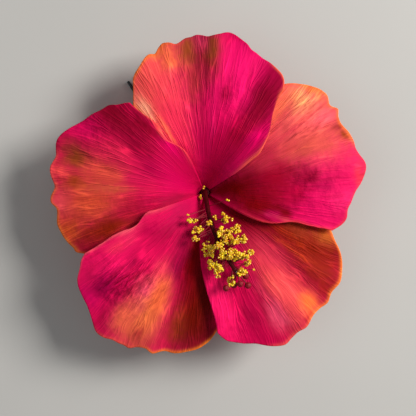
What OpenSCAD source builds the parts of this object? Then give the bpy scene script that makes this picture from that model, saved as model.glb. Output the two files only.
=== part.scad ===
// Flower hair clip: a moulded foam hibiscus glued to a double-prong spring clip.
// The clip's lower arm lies flat on z = 0 and the flower faces up. The z axis runs
// through the middle of the flower's outline. All sizes are in millimetres.

/* [Petals] */
// Radius that the petals' outlines are drawn to
flower_r = 56; // [44:1:70]
// Thickness of a petal's foam sheet
petal_thick = 1.0; // [0.6:0.1:1.4]
// Clearance between two petals where they overlap at the throat
petal_gap = 0.6; // [0.4:0.1:1]
// Radius of the throat, where the petals' bases meet
throat_r = 1.6; // [1.5:0.1:3.2]
// Rise of the petals from the throat to the crown of the cup
cup_rise = 13; // [9:0.5:16]
// Radius of the cup's crown
crown_r = 28; // [22:1:34]
// Fall of the petals from the crown to their margins
margin_droop = 3; // [0:0.5:5]
// Depth of the moulded folds in a petal, as a share of the depth listed for each
fold_depth = 1; // [0:0.1:1.2]
// Height of the small waves along a petal's margin
ruffle_h = 0.7; // [0:0.1:0.9]

/* [Flower's centre] */
// Radius of the staminal tube at its foot
column_foot_r = 1.1; // [0.95:0.05:1.4]
// Radius of the staminal tube at its tip
column_tip_r = 0.8; // [0.75:0.05:0.95]
// Radius of the wire inside the staminal tube
wire_r = 0.5; // [0.3:0.05:0.6]
// Number of stamens
stamen_count = 64; // [20:1:90]
// Length of the longest stamen
stamen_len = 7.5; // [4:0.5:9]
// Radius of a pollen grain
pollen_r = 0.55; // [0.4:0.05:0.7]
// Radius of a stigma pad
stigma_r = 1.15; // [0.8:0.05:1.4]

/* [Calyx and felt] */
// Thickness of the calyx's wall
calyx_wall = 0.8; // [0.5:0.1:1.2]
// Reach of the sepals' tips from the flower's axis
sepal_r = 15; // [11:1:19]
// Radius of the calyx's flat foot
calyx_foot_r = 5; // [4:0.5:7]
// Radius of the felt disc
felt_r = 13; // [12.5:0.5:16]
// Thickness of the felt disc
felt_thick = 1.6; // [1:0.1:2.4]
// Thickness of the glue between the clip and the felt disc
glue_thick = 0.6; // [0.3:0.1:1]
// Width of the felt strap along the clip
strap_w = 5.4; // [4:0.2:5.8]
// Thickness of the felt strap
strap_thick = 0.8; // [0.5:0.1:1]

/* [Clip] */
// Thickness of the clip's steel sheet
sheet = 0.6; // [0.4:0.1:0.8]
// Width of the clip's arms
arm_w = 8; // [7.5:0.1:9.6]
// Clear height between the arms at the hinge
jaw_gap = 4.2; // [4.2:0.1:5.2]
// Length of the arms in front of the hinge
jaw_len = 48.5; // [40:0.5:60]
// Length of the levers behind the hinge
lever_len = 13; // [10:0.5:15.6]
// Distance between the middles of the two prongs
prong_pitch = 4.4; // [3.8:0.1:5]
// Width of a prong at its root
prong_root_w = 1.9; // [1.4:0.1:2.2]
// Width of a prong at its tip
prong_tip_w = 1.06; // [0.8:0.02:1.4]
// Radius of the hinge pin
pin_r = 0.8; // [0.6:0.05:0.96]
// Diameter of the spring's wire
spring_wire = 0.5; // [0.35:0.05:0.6]
// Number of turns in the spring
spring_turns = 4; // [3:1:5]
// Direction that the prongs point in, in degrees from the x axis
clip_angle = 124; // [0:1:360]
// Distance of the hinge in front of the flower's axis
hinge_ahead = 2; // [0:0.5:4]
// Distance of the clip's middle line to the right of the flower's axis
clip_aside = 1.55; // [0:0.05:3]

/* [Hidden] */

// Fits.
running_fit = 0.05;
glue_line = 0.05;
loose_fit = 0.2;
// Play between the upper and the lower arm's cheeks.
cheek_play = 0.15;
// How far the cheeks' round ends stay from the other arm.
cheek_short = 0.4;
tiny = 0.01;

// Heights of the stacked pieces above the surface.
pin_z = sheet + jaw_gap / 2;
felt_z = pin_z + jaw_gap / 2 + sheet + glue_thick;
calyx_z = felt_z + felt_thick;
calyx_floor_z = calyx_z + calyx_wall;

// The flower's axis, placed so that the outline is centred on the origin.
throat_x = -0.021 * flower_r;
throat_y = 0.003 * flower_r;

// Each petal: its middle direction, the half width of its upper side at the base
// and at the margin in degrees, its margin from the upper edge to the edge that lies
// under the next petal, as [degrees from the middle, share of flower_r], and its moulded
// folds, as [degrees from the middle, share of the way out, height, half width in
// degrees, half length as a share of the way out].
PETAL_TOP = [95, 64, 43,
    [[-43, 0.79], [-40, 0.85], [-35, 0.895], [-27, 0.91], [-20, 0.965], [-14, 1.005],
        [-8, 0.985], [-3, 0.98], [4, 0.955], [9, 0.968], [17, 0.93], [25, 0.868], [31, 0.77],
        [38, 0.68], [45, 0.57]],
    [[-27, 0.75, -1.0, 9, 0.3], [-11, 0.85, 1.1, 8, 0.3], [4, 0.9, -1.2, 8, 0.3],
        [24, 0.8, 1.3, 13, 0.35], [-58, 0.38, -0.8, 10, 0.12]]];
PETAL_RIGHT = [24, 56, 41,
    [[-41, 0.82], [-36, 0.885], [-30, 0.9], [-24, 0.935], [-17, 1.005], [-13, 1.012],
        [-8, 0.98], [-2, 0.975], [3, 0.95], [8, 0.968], [11, 0.953], [15, 0.975], [21, 0.94],
        [27, 0.875], [34, 0.77], [45, 0.58]],
    [[-28, 0.75, 0.8, 9, 0.2], [-12, 0.8, 1.1, 9, 0.2], [-2, 0.55, -0.8, 9, 0.15],
        [8, 0.9, -1.0, 6, 0.2], [20, 0.75, 0.9, 10, 0.25]]];
PETAL_LOWER_RIGHT = [-46, 51, 39,
    [[-39, 0.875], [-35, 0.943], [-26, 0.993], [-19, 1.06], [-15, 1.065], [-11, 1.046],
        [-7, 1.054], [-2, 1.023], [4, 1.029], [8, 1.007], [13, 1.009], [19, 0.963], [25, 0.87],
        [30, 0.81], [38, 0.68], [45, 0.54]],
    [[-20, 0.85, -1.1, 8, 0.3], [-9, 0.85, 1.0, 7, 0.3], [4, 0.8, -0.8, 8, 0.3],
        [20, 0.8, 1.0, 12, 0.3]]];
PETAL_LOWER_LEFT = [-112, 48, 41,
    [[-41, 0.83], [-38, 0.904], [-35, 0.955], [-28, 1.0], [-23, 1.029], [-17, 1.096],
        [-13, 1.107], [-6, 1.086], [1, 1.046], [4, 1.057], [8, 1.029], [14, 1.014],
        [20, 0.975], [25, 0.896], [32, 0.8], [45, 0.6]],
    [[-22, 0.8, -1.2, 9, 0.25], [-8, 0.75, 1.0, 9, 0.3], [10, 0.85, -0.8, 10, 0.25]]];
PETAL_LEFT = [176, 63, 46,
    [[-46, 0.714], [-41, 0.782], [-35, 0.829], [-28, 0.875], [-22, 0.925], [-16, 0.975],
        [-12, 0.98], [-9, 0.966], [-4, 0.975], [2, 0.946], [6, 0.964], [11, 0.93],
        [17, 0.946], [24, 0.916], [31, 0.848], [38, 0.73], [45, 0.57]],
    [[-24, 0.7, 0.8, 10, 0.25], [0, 0.65, -0.8, 12, 0.3], [18, 0.8, 0.8, 10, 0.25]]];
// Half width of a petal's covered side, at the base and at the margin.
covered_base = 48;
covered_rim = 45;
// Smallest angle between the middles of two neighbouring petals.
closest_petals = 66;
// Slope across a petal at the throat, in millimetres a degree, and its growth outwards.
twist_rate = (petal_thick + petal_gap) / closest_petals;
twist_growth = 1.9;
// Steepness of the cup's wall near the throat.
cup_power = 2.4;
petal_columns = 24;
petal_rows = 16;

// How far the plug stands above the petals' middle surface at the throat.
plug_above_throat = 1.6;
// The underside of the petals at the throat touches down on the calyx's floor.
throat_z = calyx_floor_z + glue_line + petal_thick / 2 + twist_rate * covered_base;
receptacle_top_z = throat_z + plug_above_throat;

// The staminal column's route from the throat, as [x, y, height above the cup].
COLUMN = [[0.5, -3.4, 4.4], [1.5, -8.4, 3.8], [3.3, -14, 3.7], [5.9, -19.4, 4.1],
    [8.6, -24, 5.2], [10.8, -27.4, 6.6]];
column_steps = 4;
column_sides = 12;
golden_share = 0.618034;
filament_r = 0.18;
// How deep a stamen's root is set in the staminal tube's wall.
stamen_set = 0.12;
// The stigmas' directions from the column's tip: [degrees aside, degrees up, length].
STIGMAS = [[-56, 4, 6.4], [-34, -14, 4.6], [-5, 6, 4.0], [19, 2, 5.8], [45, -20, 3.6]];
style_r = 0.28;

// The clip, with its pin along y at the origin and its prongs along x.
half_gap = jaw_gap / 2;
cheek_r = half_gap - cheek_short;
outer_cheek_y = arm_w / 2 - sheet;
inner_cheek_y = outer_cheek_y - cheek_play - sheet;
pin_head_r = pin_r + 0.55;
pin_head_h = 0.45;
flat_len = 11;
fork_x = 16;
prong_corner_r = 0.3;
jaw_curve_steps = 12;
tip_gap = 0.1;
spring_bore_r = pin_r + loose_fit;
spring_r = spring_bore_r + spring_wire / 2;
spring_half_w = inner_cheek_y - loose_fit - spring_wire / 2;
spring_leg = lever_len - 5;
spring_sides = 8;
spring_steps = 12;
strap_x = cheek_r + 1.1;

function clamp(x) = max(0, min(1, x));
function smooth(a, b, x) = let (u = clamp((x - a) / (b - a))) u * u * (3 - 2 * u);
function part_of(x) = x - floor(x);
function unit(v) = v / norm(v);
function sum_of(list) = [for (one = list) 1] * list;

// A smooth curve through [x, y] points.
function span_of(points, x, i = 0) =
    i >= len(points) - 2 || x < points[i + 1][0] ? i : span_of(points, x, i + 1);
function slope_at(points, i) =
    let (a = points[max(0, i - 1)], b = points[min(len(points) - 1, i + 1)])
    (b[1] - a[1]) / (b[0] - a[0]);
function curve(points, x) =
    let (i = span_of(points, x), a = points[i], b = points[i + 1], w = b[0] - a[0],
        u = (x - a[0]) / w, m = slope_at(points, i) * w, n = slope_at(points, i + 1) * w)
    a[1] * (1 + 2 * u) * pow(1 - u, 2) + m * u * pow(1 - u, 2)
    + b[1] * u * u * (3 - 2 * u) - n * u * u * (1 - u);

// A smooth route through 3-D points, in steps between each two.
function route_point(p, i, u) =
    let (last = len(p) - 1, a = p[max(0, i - 1)], b = p[i], c = p[i + 1], d = p[min(last, i + 2)])
    b + (c - a) * u / 2 + (2 * a - 5 * b + 4 * c - d) * u * u / 2
    + (3 * b - a - 3 * c + d) * u * u * u / 2;
function route(p, steps) =
    concat([for (i = [0 : len(p) - 2], k = [0 : steps - 1]) route_point(p, i, k / steps)],
        [p[len(p) - 1]]);

// Height of the cup's middle surface at a radius, and a petal's slope across it.
function cup_z(r) =
    throat_z + cup_rise * (1 - pow(1 - clamp((r - throat_r) / (crown_r - throat_r)), cup_power))
    - margin_droop * pow(max(0, (r - crown_r) / (flower_r - crown_r)), 2);
function twist(r) = twist_rate * (1 + twist_growth * (r - throat_r) / flower_r);
// The lowest underside that any petal has at a radius.
function under_petals_z(r) = cup_z(r) - twist(r) * covered_base - petal_thick / 2 - glue_line;
// A height over the petals that clears every upper side and fold at a radius.
over_upper_side = 50;
fold_room = 0.9;
function over_petals_z(r) =
    cup_z(r) + twist(r) * over_upper_side + petal_thick / 2 + fold_room * fold_depth;

// A point on a petal's middle surface: s runs from -1 at the upper edge to 1 at the
// covered edge, and t from 0 at the throat to 1 at the margin.
function petal_point(p, s, t) =
    let (
        upper = s < 0,
        rim_w = upper ? p[2] : covered_rim,
        base_w = upper ? p[1] : covered_base,
        deg = s * (base_w + (rim_w - base_w) * smooth(0.2, 1, t)),
        rim_r = flower_r * curve(p[3], s * rim_w),
        r = throat_r + (rim_r - throat_r) * t,
        folds = fold_depth * sum_of([for (f = p[4])
            f[2] * exp(-pow((deg - f[0]) / f[3], 2) - pow((t - f[1]) / f[4], 2))]),
        ruffles = ruffle_h * (0.3 + 0.7 * pow(1 - s * s, 2)) * pow(t, 4) * sin(24 * deg + 3 * p[0])
    )
    [throat_x + r * cos(p[0] + deg), throat_y + r * sin(p[0] + deg),
        cup_z(r) - twist(r) * deg + folds + ruffles];

// Two triangles for a cell whose corners run clockwise as seen from outside.
function cell(a, b, c, d) = [[a, b, c], [a, c, d]];
function flat_list(lists) = [for (l = lists) each l];

// One petal: a sheet of even thickness about its middle surface.
module petal(p) {
    rows = petal_rows;
    columns = petal_columns;
    size = rows * columns;
    middle = [for (i = [0 : rows - 1], j = [0 : columns - 1])
        petal_point(p, 2 * j / (columns - 1) - 1, i / (rows - 1))];
    points = concat([for (m = middle) m + [0, 0, petal_thick / 2]],
        [for (m = middle) m - [0, 0, petal_thick / 2]]);
    faces = flat_list(concat(
        [for (i = [0 : rows - 2], j = [0 : columns - 2]) let (a = i * columns + j)
            cell(a, a + 1, a + columns + 1, a + columns)],
        [for (i = [0 : rows - 2], j = [0 : columns - 2]) let (a = size + i * columns + j)
            cell(a, a + columns, a + columns + 1, a + 1)],
        [for (j = [0 : columns - 2]) cell(j, size + j, size + j + 1, j + 1)],
        [for (j = [0 : columns - 2]) let (a = (rows - 1) * columns + j)
            cell(a, a + 1, size + a + 1, size + a)],
        [for (i = [0 : rows - 2]) let (a = i * columns)
            cell(a, a + columns, size + a + columns, size + a)],
        [for (i = [0 : rows - 2]) let (a = i * columns + columns - 1)
            cell(a, size + a, size + a + columns, a + columns)]));
    polyhedron(points = points, faces = faces, convexity = 6);
}

// Rings of points round a route. "across" is a direction that the route never takes.
function rings(p, radii, sides, across) =
    [for (i = [0 : len(p) - 1])
        let (ahead = unit(p[min(len(p) - 1, i + 1)] - p[max(0, i - 1)]),
            u = unit(cross(ahead, across)), v = cross(ahead, u))
        for (k = [0 : sides - 1])
            let (a = 360 * k / sides) p[i] + radii[i] * (cos(a) * u + sin(a) * v)];
function ring_cells(from, count, sides, inward) =
    [for (i = [0 : count - 2], k = [0 : sides - 1])
        let (a = from + i * sides + k, b = from + i * sides + (k + 1) % sides)
        inward ? cell(a, b, b + sides, a + sides) : cell(a, a + sides, b + sides, b)];

// A solid rod along a route.
module rod_along(p, radii, sides, across) {
    count = len(p);
    last = (count - 1) * sides;
    points = rings(p, radii, sides, across);
    faces = concat(flat_list(ring_cells(0, count, sides, false)),
        [for (k = [1 : sides - 2]) [0, k, k + 1]],
        [for (k = [1 : sides - 2]) [last, last + k + 1, last + k]]);
    polyhedron(points = points, faces = faces, convexity = 10);
}

// A hollow tube along a route.
module tube_along(p, outer, inner, sides, across) {
    count = len(p);
    size = count * sides;
    last = size - sides;
    points = concat(rings(p, outer, sides, across), rings(p, inner, sides, across));
    faces = concat(flat_list(ring_cells(0, count, sides, false)),
        flat_list(ring_cells(size, count, sides, true)),
        flat_list([for (k = [0 : sides - 1]) let (n = (k + 1) % sides)
            cell(k, n, size + n, size + k)]),
        flat_list([for (k = [0 : sides - 1]) let (n = (k + 1) % sides)
            cell(last + k, size + last + k, size + last + n, last + n)]));
    polyhedron(points = points, faces = faces, convexity = 10);
}

// A straight rod from one point to another.
module rod(a, b, r) {
    d = b - a;
    translate(a) rotate([0, acos(d[2] / norm(d)), atan2(d[1], d[0])])
        cylinder(h = norm(d), r = r, $fn = 16);
}

module petal_top() color("#e0204f") petal(PETAL_TOP);
module petal_right() color("#ea4a4c") petal(PETAL_RIGHT);
module petal_lower_right() color("#e3253f") petal(PETAL_LOWER_RIGHT);
module petal_lower_left() color("#ef4a4e") petal(PETAL_LOWER_LEFT);
module petal_left() color("#d92a48") petal(PETAL_LEFT);

// The plug that the petals' bases are glued round, bored for the column's wire.
module receptacle() {
    color("#8c0a20")
    translate([throat_x, throat_y, calyx_floor_z]) difference() {
        cylinder(h = receptacle_top_z - calyx_floor_z, r = throat_r - glue_line, $fn = 48);
        translate([0, 0, -1])
            cylinder(h = receptacle_top_z - calyx_floor_z + 2, r = wire_r + running_fit, $fn = 32);
    }
}

// The green cup under the petals, cut into five sepals.
module calyx() {
    steps = 10;
    rim = sepal_r + 1;
    wall_drop = 1.6 * calyx_wall;
    foot_top = calyx_z + calyx_wall;
    top_edge = [for (i = [0 : steps]) let (r = throat_r + (rim - throat_r) * i / steps)
        [r, under_petals_z(r) - glue_line]];
    under_edge = [for (i = [0 : steps - 3]) let (r = rim - (rim - calyx_foot_r) * i / (steps - 2))
        [r, max(foot_top, under_petals_z(r) - glue_line - wall_drop)]];
    cleft_r = 0.5 * sepal_r;
    star = [for (a = [0 : 4 : 356])
        let (r = cleft_r + (sepal_r - cleft_r) * pow(abs(cos(2.5 * a)), 1.3)) r * [cos(a), sin(a)]];
    color("#4f7a35")
    translate([throat_x, throat_y, 0]) intersection() {
        rotate_extrude($fn = 64)
            polygon(concat([[0, calyx_z], [0, calyx_floor_z]], [[throat_r, calyx_floor_z]],
                top_edge, under_edge, [[calyx_foot_r, foot_top], [calyx_foot_r, calyx_z]]));
        translate([0, 0, calyx_z - 1]) linear_extrude(60) rotate(clip_angle) polygon(star);
    }
}

// The ring of hot-melt glue round the calyx's foot.
module glue_collar() {
    inner = calyx_foot_r + glue_line;
    wide = 2;
    high = 0.75;
    color("#e9e4d2")
    translate([throat_x, throat_y, calyx_z]) rotate_extrude($fn = 48)
        polygon([[inner, 0], [inner + wide, 0], [inner + 0.9 * wide, high / 2],
            [inner + wide / 2, 0.93 * high], [inner, high]]);
}

// The column's route, straight up the plug's bore and then out over the petals.
column_route = concat(
    [[throat_x, throat_y, receptacle_top_z + 0.6], [throat_x, throat_y, receptacle_top_z + 1.6]],
    [for (c = COLUMN) [throat_x + c[0], throat_y + c[1], cup_z(norm([c[0], c[1]])) + c[2]]]);
column_line = concat([[throat_x, throat_y, receptacle_top_z + glue_line]],
    route(column_route, column_steps));
column_end = len(column_line) - 1;
// The column bends in the plane through its tip, and this is level across that plane.
column_tip = COLUMN[len(COLUMN) - 1];
column_across = unit([-column_tip[1], column_tip[0], 0]);
function column_radius(u) =
    column_foot_r + (column_tip_r - column_foot_r) * pow(u, 0.6);

module column_wire() {
    line = concat([[throat_x, throat_y, calyx_floor_z + glue_line]], column_line);
    color("#8a8d8f")
    rod_along(line, [for (p = line) wire_r], column_sides, column_across);
}

module staminal_tube() {
    color("#a3122c")
    tube_along(column_line, [for (i = [0 : column_end]) column_radius(i / column_end)],
        [for (p = column_line) wire_r + running_fit], column_sides, column_across);
}

// A stamen's root on the column and its end, which stays clear of the petals.
function stamen(i) =
    let (
        share = 0.3 + 0.62 * (i + 0.5) / stamen_count,
        at = min(column_end - 1, floor(share * column_end)),
        u = share * column_end - at,
        base = column_line[at] * (1 - u) + column_line[at + 1] * u,
        ahead = unit(column_line[at + 1] - column_line[at]),
        side = unit(cross(ahead, [0, 0, 1])),
        up = cross(side, ahead),
        turn = 90 + (70 + 30 * share) * (2 * part_of(i * golden_share) - 1),
        out = unit(cos(turn) * side + sin(turn) * up + 0.35 * ahead),
        reach = stamen_len * (0.7 + 0.3 * part_of(i * 0.29)),
        free_end = base + out * reach,
        low = over_petals_z(norm([free_end[0] - throat_x, free_end[1] - throat_y])) + pollen_r,
        end = [free_end[0], free_end[1], max(low, free_end[2])]
    )
    [base + unit(end - base) * (column_radius(share) - stamen_set), end];

module filaments() {
    color("#c8163c")
    for (i = [0 : stamen_count - 1]) let (s = stamen(i)) rod(s[0], s[1], filament_r);
}

module pollen() {
    color("#f5d531")
    for (i = [0 : stamen_count - 1]) translate(stamen(i)[1]) sphere(r = pollen_r, $fn = 24);
}

// The five styles that fork from the column's tip, and their stigma pads.
function stigma_at(s) =
    let (heading = -68 + s[0])
    column_line[column_end]
        + s[2] * [cos(heading) * cos(s[1]), sin(heading) * cos(s[1]), sin(s[1])];
function style_root(s) =
    let (tip = column_line[column_end]) tip + 0.9 * unit(stigma_at(s) - tip);

module styles() {
    color("#8e1022")
    for (s = STIGMAS) rod(style_root(s), stigma_at(s), style_r);
}

module stigma_pads() {
    color("#7c0d1c")
    for (s = STIGMAS) translate(stigma_at(s)) sphere(r = stigma_r, $fn = 32);
}

// Places a piece of the clip, with the pin's middle at the origin, under the flower.
module on_clip() {
    translate([throat_x, throat_y, pin_z]) rotate(clip_angle)
        translate([hinge_ahead, -clip_aside, 0]) children();
}

// The felt disc that the flower is glued to.
module felt_disc() {
    color("#b5223c")
    translate([throat_x, throat_y, felt_z]) cylinder(h = felt_thick, r = felt_r, $fn = 64);
}

// The hot-melt glue between the upper arm and the felt disc.
module clip_glue() {
    long = 8;
    wide = arm_w / 2 - 0.6;
    color("#e9e4d2")
    on_clip() translate([0, 0, half_gap + sheet]) linear_extrude(glue_thick) union() {
        translate([-long / 2 - hinge_ahead, -wide]) square([long + hinge_ahead, 2 * wide]);
        translate([-long / 2 - hinge_ahead, 0]) circle(r = wide, $fn = 32);
        translate([long / 2, 0]) circle(r = wide, $fn = 32);
    }
}

// The felt strap under the upper arm, whose ends are glued up to the felt disc.
module felt_strap() {
    top = half_gap + sheet + glue_thick;
    low = half_gap - glue_line - strap_thick;
    flange = 1.6;
    in_y = arm_w / 2 + 2 * running_fit;
    out_y = in_y + strap_thick;
    end_y = out_y + flange;
    color("#b5223c")
    on_clip() translate([strap_x + strap_w, 0, 0]) rotate([90, 0, -90])
        linear_extrude(strap_w)
        polygon([[-end_y, top], [-end_y, top - strap_thick], [-out_y, top - strap_thick],
            [-out_y, low], [out_y, low], [out_y, top - strap_thick], [end_y, top - strap_thick],
            [end_y, top], [in_y, top], [in_y, low + strap_thick], [-in_y, low + strap_thick],
            [-in_y, top]]);
}

// Outline of an arm seen from above: a round lever, a wide body and two prongs.
module arm_outline() {
    half = arm_w / 2;
    root_out = prong_pitch / 2 + prong_root_w / 2;
    root_in = prong_pitch / 2 - prong_root_w / 2;
    tip_out = prong_pitch / 2 + prong_tip_w / 2;
    tip_in = prong_pitch / 2 - prong_tip_w / 2;
    translate([half - lever_len, 0]) circle(r = half, $fn = 64);
    translate([half - lever_len, -half]) square([lever_len - half + 5, arm_w]);
    difference() {
        polygon([[5 - tiny, -half], [fork_x, -root_out], [fork_x + 3, -root_out],
            [fork_x + 3, root_out], [fork_x, root_out], [5 - tiny, half]]);
        translate([fork_x + root_in, 0]) circle(r = root_in, $fn = 32);
        translate([fork_x + root_in, -root_in]) square([5, 2 * root_in]);
    }
    for (side = [-1, 1]) scale([1, side]) {
        polygon([[fork_x + 2, root_in], [fork_x + 2, root_out], [fork_x + 3, root_out],
            [jaw_len - prong_corner_r, tip_out], [jaw_len - prong_corner_r, tip_in],
            [fork_x + 3, root_in]]);
        translate([jaw_len - 2 * prong_corner_r, tip_in + prong_corner_r])
            square([2 * prong_corner_r, prong_tip_w - 2 * prong_corner_r]);
        for (y = [tip_in + prong_corner_r, tip_out - prong_corner_r])
            translate([jaw_len - prong_corner_r, y]) circle(r = prong_corner_r, $fn = 24);
    }
}

// Two ears of an arm that the pin goes through, at a distance from the middle.
module cheeks(y, up) {
    for (side = [-1, 1])
        translate([0, side * (y + sheet / 2) + sheet / 2, 0]) rotate([90, 0, 0])
            linear_extrude(sheet) union() {
                circle(r = cheek_r, $fn = 48);
                translate([-cheek_r, up ? 0 : -half_gap - sheet / 2])
                    square([2 * cheek_r, half_gap + sheet / 2]);
            }
}

module pin_bore() {
    rotate([90, 0, 0])
        cylinder(h = arm_w + 4, r = pin_r + running_fit, center = true, $fn = 48);
}

// The upper arm: flat under the flower, its prongs curving down to the lower arm's.
module upper_arm() {
    fall = jaw_gap - tip_gap;
    stations = [for (i = [0 : jaw_curve_steps])
        flat_len + (jaw_len + 1 - flat_len) * i / jaw_curve_steps];
    drop = [for (x = stations) half_gap - fall * smooth(flat_len, jaw_len, x)];
    side_view = concat([[-lever_len - 1, half_gap]],
        [for (i = [0 : jaw_curve_steps]) [stations[i], drop[i]]],
        [for (i = [jaw_curve_steps : -1 : 0]) [stations[i], drop[i] + sheet]],
        [[-lever_len - 1, half_gap + sheet]]);
    color("#17181a")
    on_clip() difference() {
        union() {
            intersection() {
                translate([0, arm_w, 0]) rotate([90, 0, 0])
                    linear_extrude(2 * arm_w) polygon(side_view);
                translate([0, 0, -pin_z]) linear_extrude(3 * pin_z) arm_outline();
            }
            cheeks(outer_cheek_y, true);
        }
        pin_bore();
    }
}

// The lower arm, flat from end to end, which lies on the surface.
module lower_arm() {
    color("#17181a")
    on_clip() difference() {
        union() {
            translate([0, 0, -pin_z]) linear_extrude(sheet) arm_outline();
            cheeks(inner_cheek_y, false);
        }
        pin_bore();
    }
}

// The riveted pin, with a head outside each outer cheek.
module hinge_pin() {
    reach = arm_w / 2 + running_fit;
    color("#9a9da0")
    on_clip() rotate([90, 0, 0]) union() {
        cylinder(h = 2 * reach + 2 * tiny, r = pin_r, center = true, $fn = 48);
        for (side = [0, 1]) mirror([0, 0, side]) translate([0, 0, reach])
            cylinder(h = pin_head_h, r = pin_head_r, $fn = 48);
    }
}

// The spring: a coil round the pin, with a leg against each lever.
module torsion_spring() {
    leg_z = half_gap - spring_wire / 2 - running_fit;
    sweep = 360 * spring_turns + 180;
    count = ceil(sweep * spring_steps / 360);
    coil = [for (i = [0 : count]) let (a = -90 + sweep * i / count)
        [spring_r * cos(a), spring_half_w * (2 * i / count - 1), spring_r * sin(a)]];
    line = concat([[-spring_leg, -spring_half_w, -leg_z], [-spring_leg / 2, -spring_half_w,
        -(leg_z + spring_r) / 2]], coil, [[-spring_leg / 2, spring_half_w,
        (leg_z + spring_r) / 2], [-spring_leg, spring_half_w, leg_z]]);
    color("#b9bcc0")
    on_clip() rod_along(line, [for (p = line) spring_wire / 2], spring_sides, [0, 1, 0]);
}

petal_top();
petal_right();
petal_lower_right();
petal_lower_left();
petal_left();
receptacle();
calyx();
glue_collar();
column_wire();
staminal_tube();
filaments();
pollen();
styles();
stigma_pads();
felt_disc();
felt_strap();
clip_glue();
upper_arm();
lower_arm();
hinge_pin();
torsion_spring();
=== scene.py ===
import math

import bmesh
import bpy
import numpy as np
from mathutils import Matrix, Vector, noise


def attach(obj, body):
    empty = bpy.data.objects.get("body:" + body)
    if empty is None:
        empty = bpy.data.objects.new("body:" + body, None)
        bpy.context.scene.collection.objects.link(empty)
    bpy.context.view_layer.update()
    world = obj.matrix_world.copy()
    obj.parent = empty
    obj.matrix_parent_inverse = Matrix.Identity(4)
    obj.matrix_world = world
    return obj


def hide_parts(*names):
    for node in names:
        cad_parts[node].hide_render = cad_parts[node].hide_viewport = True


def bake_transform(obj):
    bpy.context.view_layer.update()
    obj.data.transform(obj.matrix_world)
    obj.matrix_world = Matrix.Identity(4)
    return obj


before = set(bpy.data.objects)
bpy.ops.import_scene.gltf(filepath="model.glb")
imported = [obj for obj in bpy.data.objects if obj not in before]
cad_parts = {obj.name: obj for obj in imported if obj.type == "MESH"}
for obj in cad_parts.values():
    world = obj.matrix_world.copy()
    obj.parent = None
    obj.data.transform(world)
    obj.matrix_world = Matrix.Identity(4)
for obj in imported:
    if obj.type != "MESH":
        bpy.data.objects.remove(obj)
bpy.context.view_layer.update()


# ---- The clip's two arms ----------------------------------------------------
# Two stamped arms of 0.6 mm spring steel, sheared, tumbled so that their edges
# are round, and dipped in black lacquer. The upper arm's ears go outside the
# lower arm's.
MM = 0.001
ARM_SHEET, JAW_GAP = 0.6, 4.2
TUMBLED_EDGE, SHARP_DEGREES = 0.09, 32


def dye(code):
    """A colour written as #rrggbb, as the light values that a shader works in."""
    parts = [int(code[i : i + 2], 16) / 255 for i in (1, 3, 5)]
    return [p / 12.92 if p <= 0.04045 else ((p + 0.055) / 1.055) ** 2.4 for p in parts] + [1.0]


class Signal:
    """A socket of a finish's nodes, used in sums as if it were a number."""

    def __init__(self, finish, socket):
        self.finish, self.socket = finish, socket

    def math(self, operation, *values):
        """A node that does one sum with these values."""
        sockets = dict(enumerate(values))
        return self.finish.node("ShaderNodeMath", {"operation": operation}, sockets)

    def __add__(self, other):
        return self.math("ADD", self, other)

    def __sub__(self, other):
        return self.math("SUBTRACT", self, other)

    def __mul__(self, other):
        return self.math("MULTIPLY", self, other)

    def __truediv__(self, other):
        return self.math("DIVIDE", self, other)

    def __pow__(self, other):
        return self.math("POWER", self, other)

    def __rsub__(self, other):
        return self.math("SUBTRACT", other, self)

    __radd__, __rmul__ = __add__, __mul__

    def __abs__(self):
        return self.math("ABSOLUTE", self)

    def high(self, other):
        """The higher of the two."""
        return self.math("MAXIMUM", self, other)

    def ridge(self):
        """1 at each whole number and 0 half way between two."""
        return abs(self.math("COSINE", self * math.pi))

    def between(self, low, high):
        """0 below low and 1 above high, with a soft step between."""
        settings = {"interpolation_type": "SMOOTHSTEP"}
        return self.finish.node("ShaderNodeMapRange", settings, {0: self, 1: low, 2: high})


class Finish:
    """A material of the object. Its shader's even values are given by name."""

    def __init__(self, name, **even):
        self.material = bpy.data.materials.new(name)
        self.material.use_nodes = True
        self.tree = self.material.node_tree
        self.shader = self.tree.nodes["Principled BSDF"]
        for socket, value in even.items():
            self.shader.inputs[socket.replace("_", " ")].default_value = value
        self.place = self.node("ShaderNodeTexCoord", out="Object")

    def node(self, kind, settings=None, sockets=None, out=0):
        """Any node, from its type, its settings and what its sockets hold or are fed."""
        made = self.tree.nodes.new(kind)
        for key, value in (settings or {}).items():
            setattr(made, key, value)
        for key, value in (sockets or {}).items():
            if isinstance(value, Signal):
                self.tree.links.new(value.socket, made.inputs[key])
            else:
                made.inputs[key].default_value = value
        return Signal(self, made.outputs[out])

    def grain(self, per_mm, detail=2.0, at=None, stretch=None):
        """Soft noise from 0 to 1, with this many waves a millimetre."""
        at = at or self.place
        if stretch:
            at = self.node("ShaderNodeMapping", None, {"Vector": at, "Scale": stretch})
        sockets = {"Vector": at, "Scale": per_mm / MM, "Detail": detail}
        return self.node("ShaderNodeTexNoise", None, sockets)

    def mixed(self, share, first, second, way="MIX"):
        """A mix of two colours, each a signal, light values or a #rrggbb code."""
        first, second = (dye(c) if isinstance(c, str) else c for c in (first, second))
        settings = {"data_type": "RGBA", "blend_type": way}
        return self.node("ShaderNodeMix", settings, {0: share, 6: first, 7: second}, 2)

    def feed(self, **sockets):
        """Feeds the shader's inputs, given by name."""
        for key, value in sockets.items():
            self.tree.links.new(value.socket, self.shader.inputs[key.replace("_", " ")])

    def relief(self, height_mm):
        """Raises the surface by a height in millimetres."""
        sockets = {"Height": height_mm, "Distance": MM, "Strength": 1.0}
        self.feed(Normal=self.node("ShaderNodeBump", None, sockets))

    def put_on(self, thing):
        """Makes this the piece's only material."""
        thing.data.materials.clear()
        thing.data.materials.append(self.material)


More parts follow.
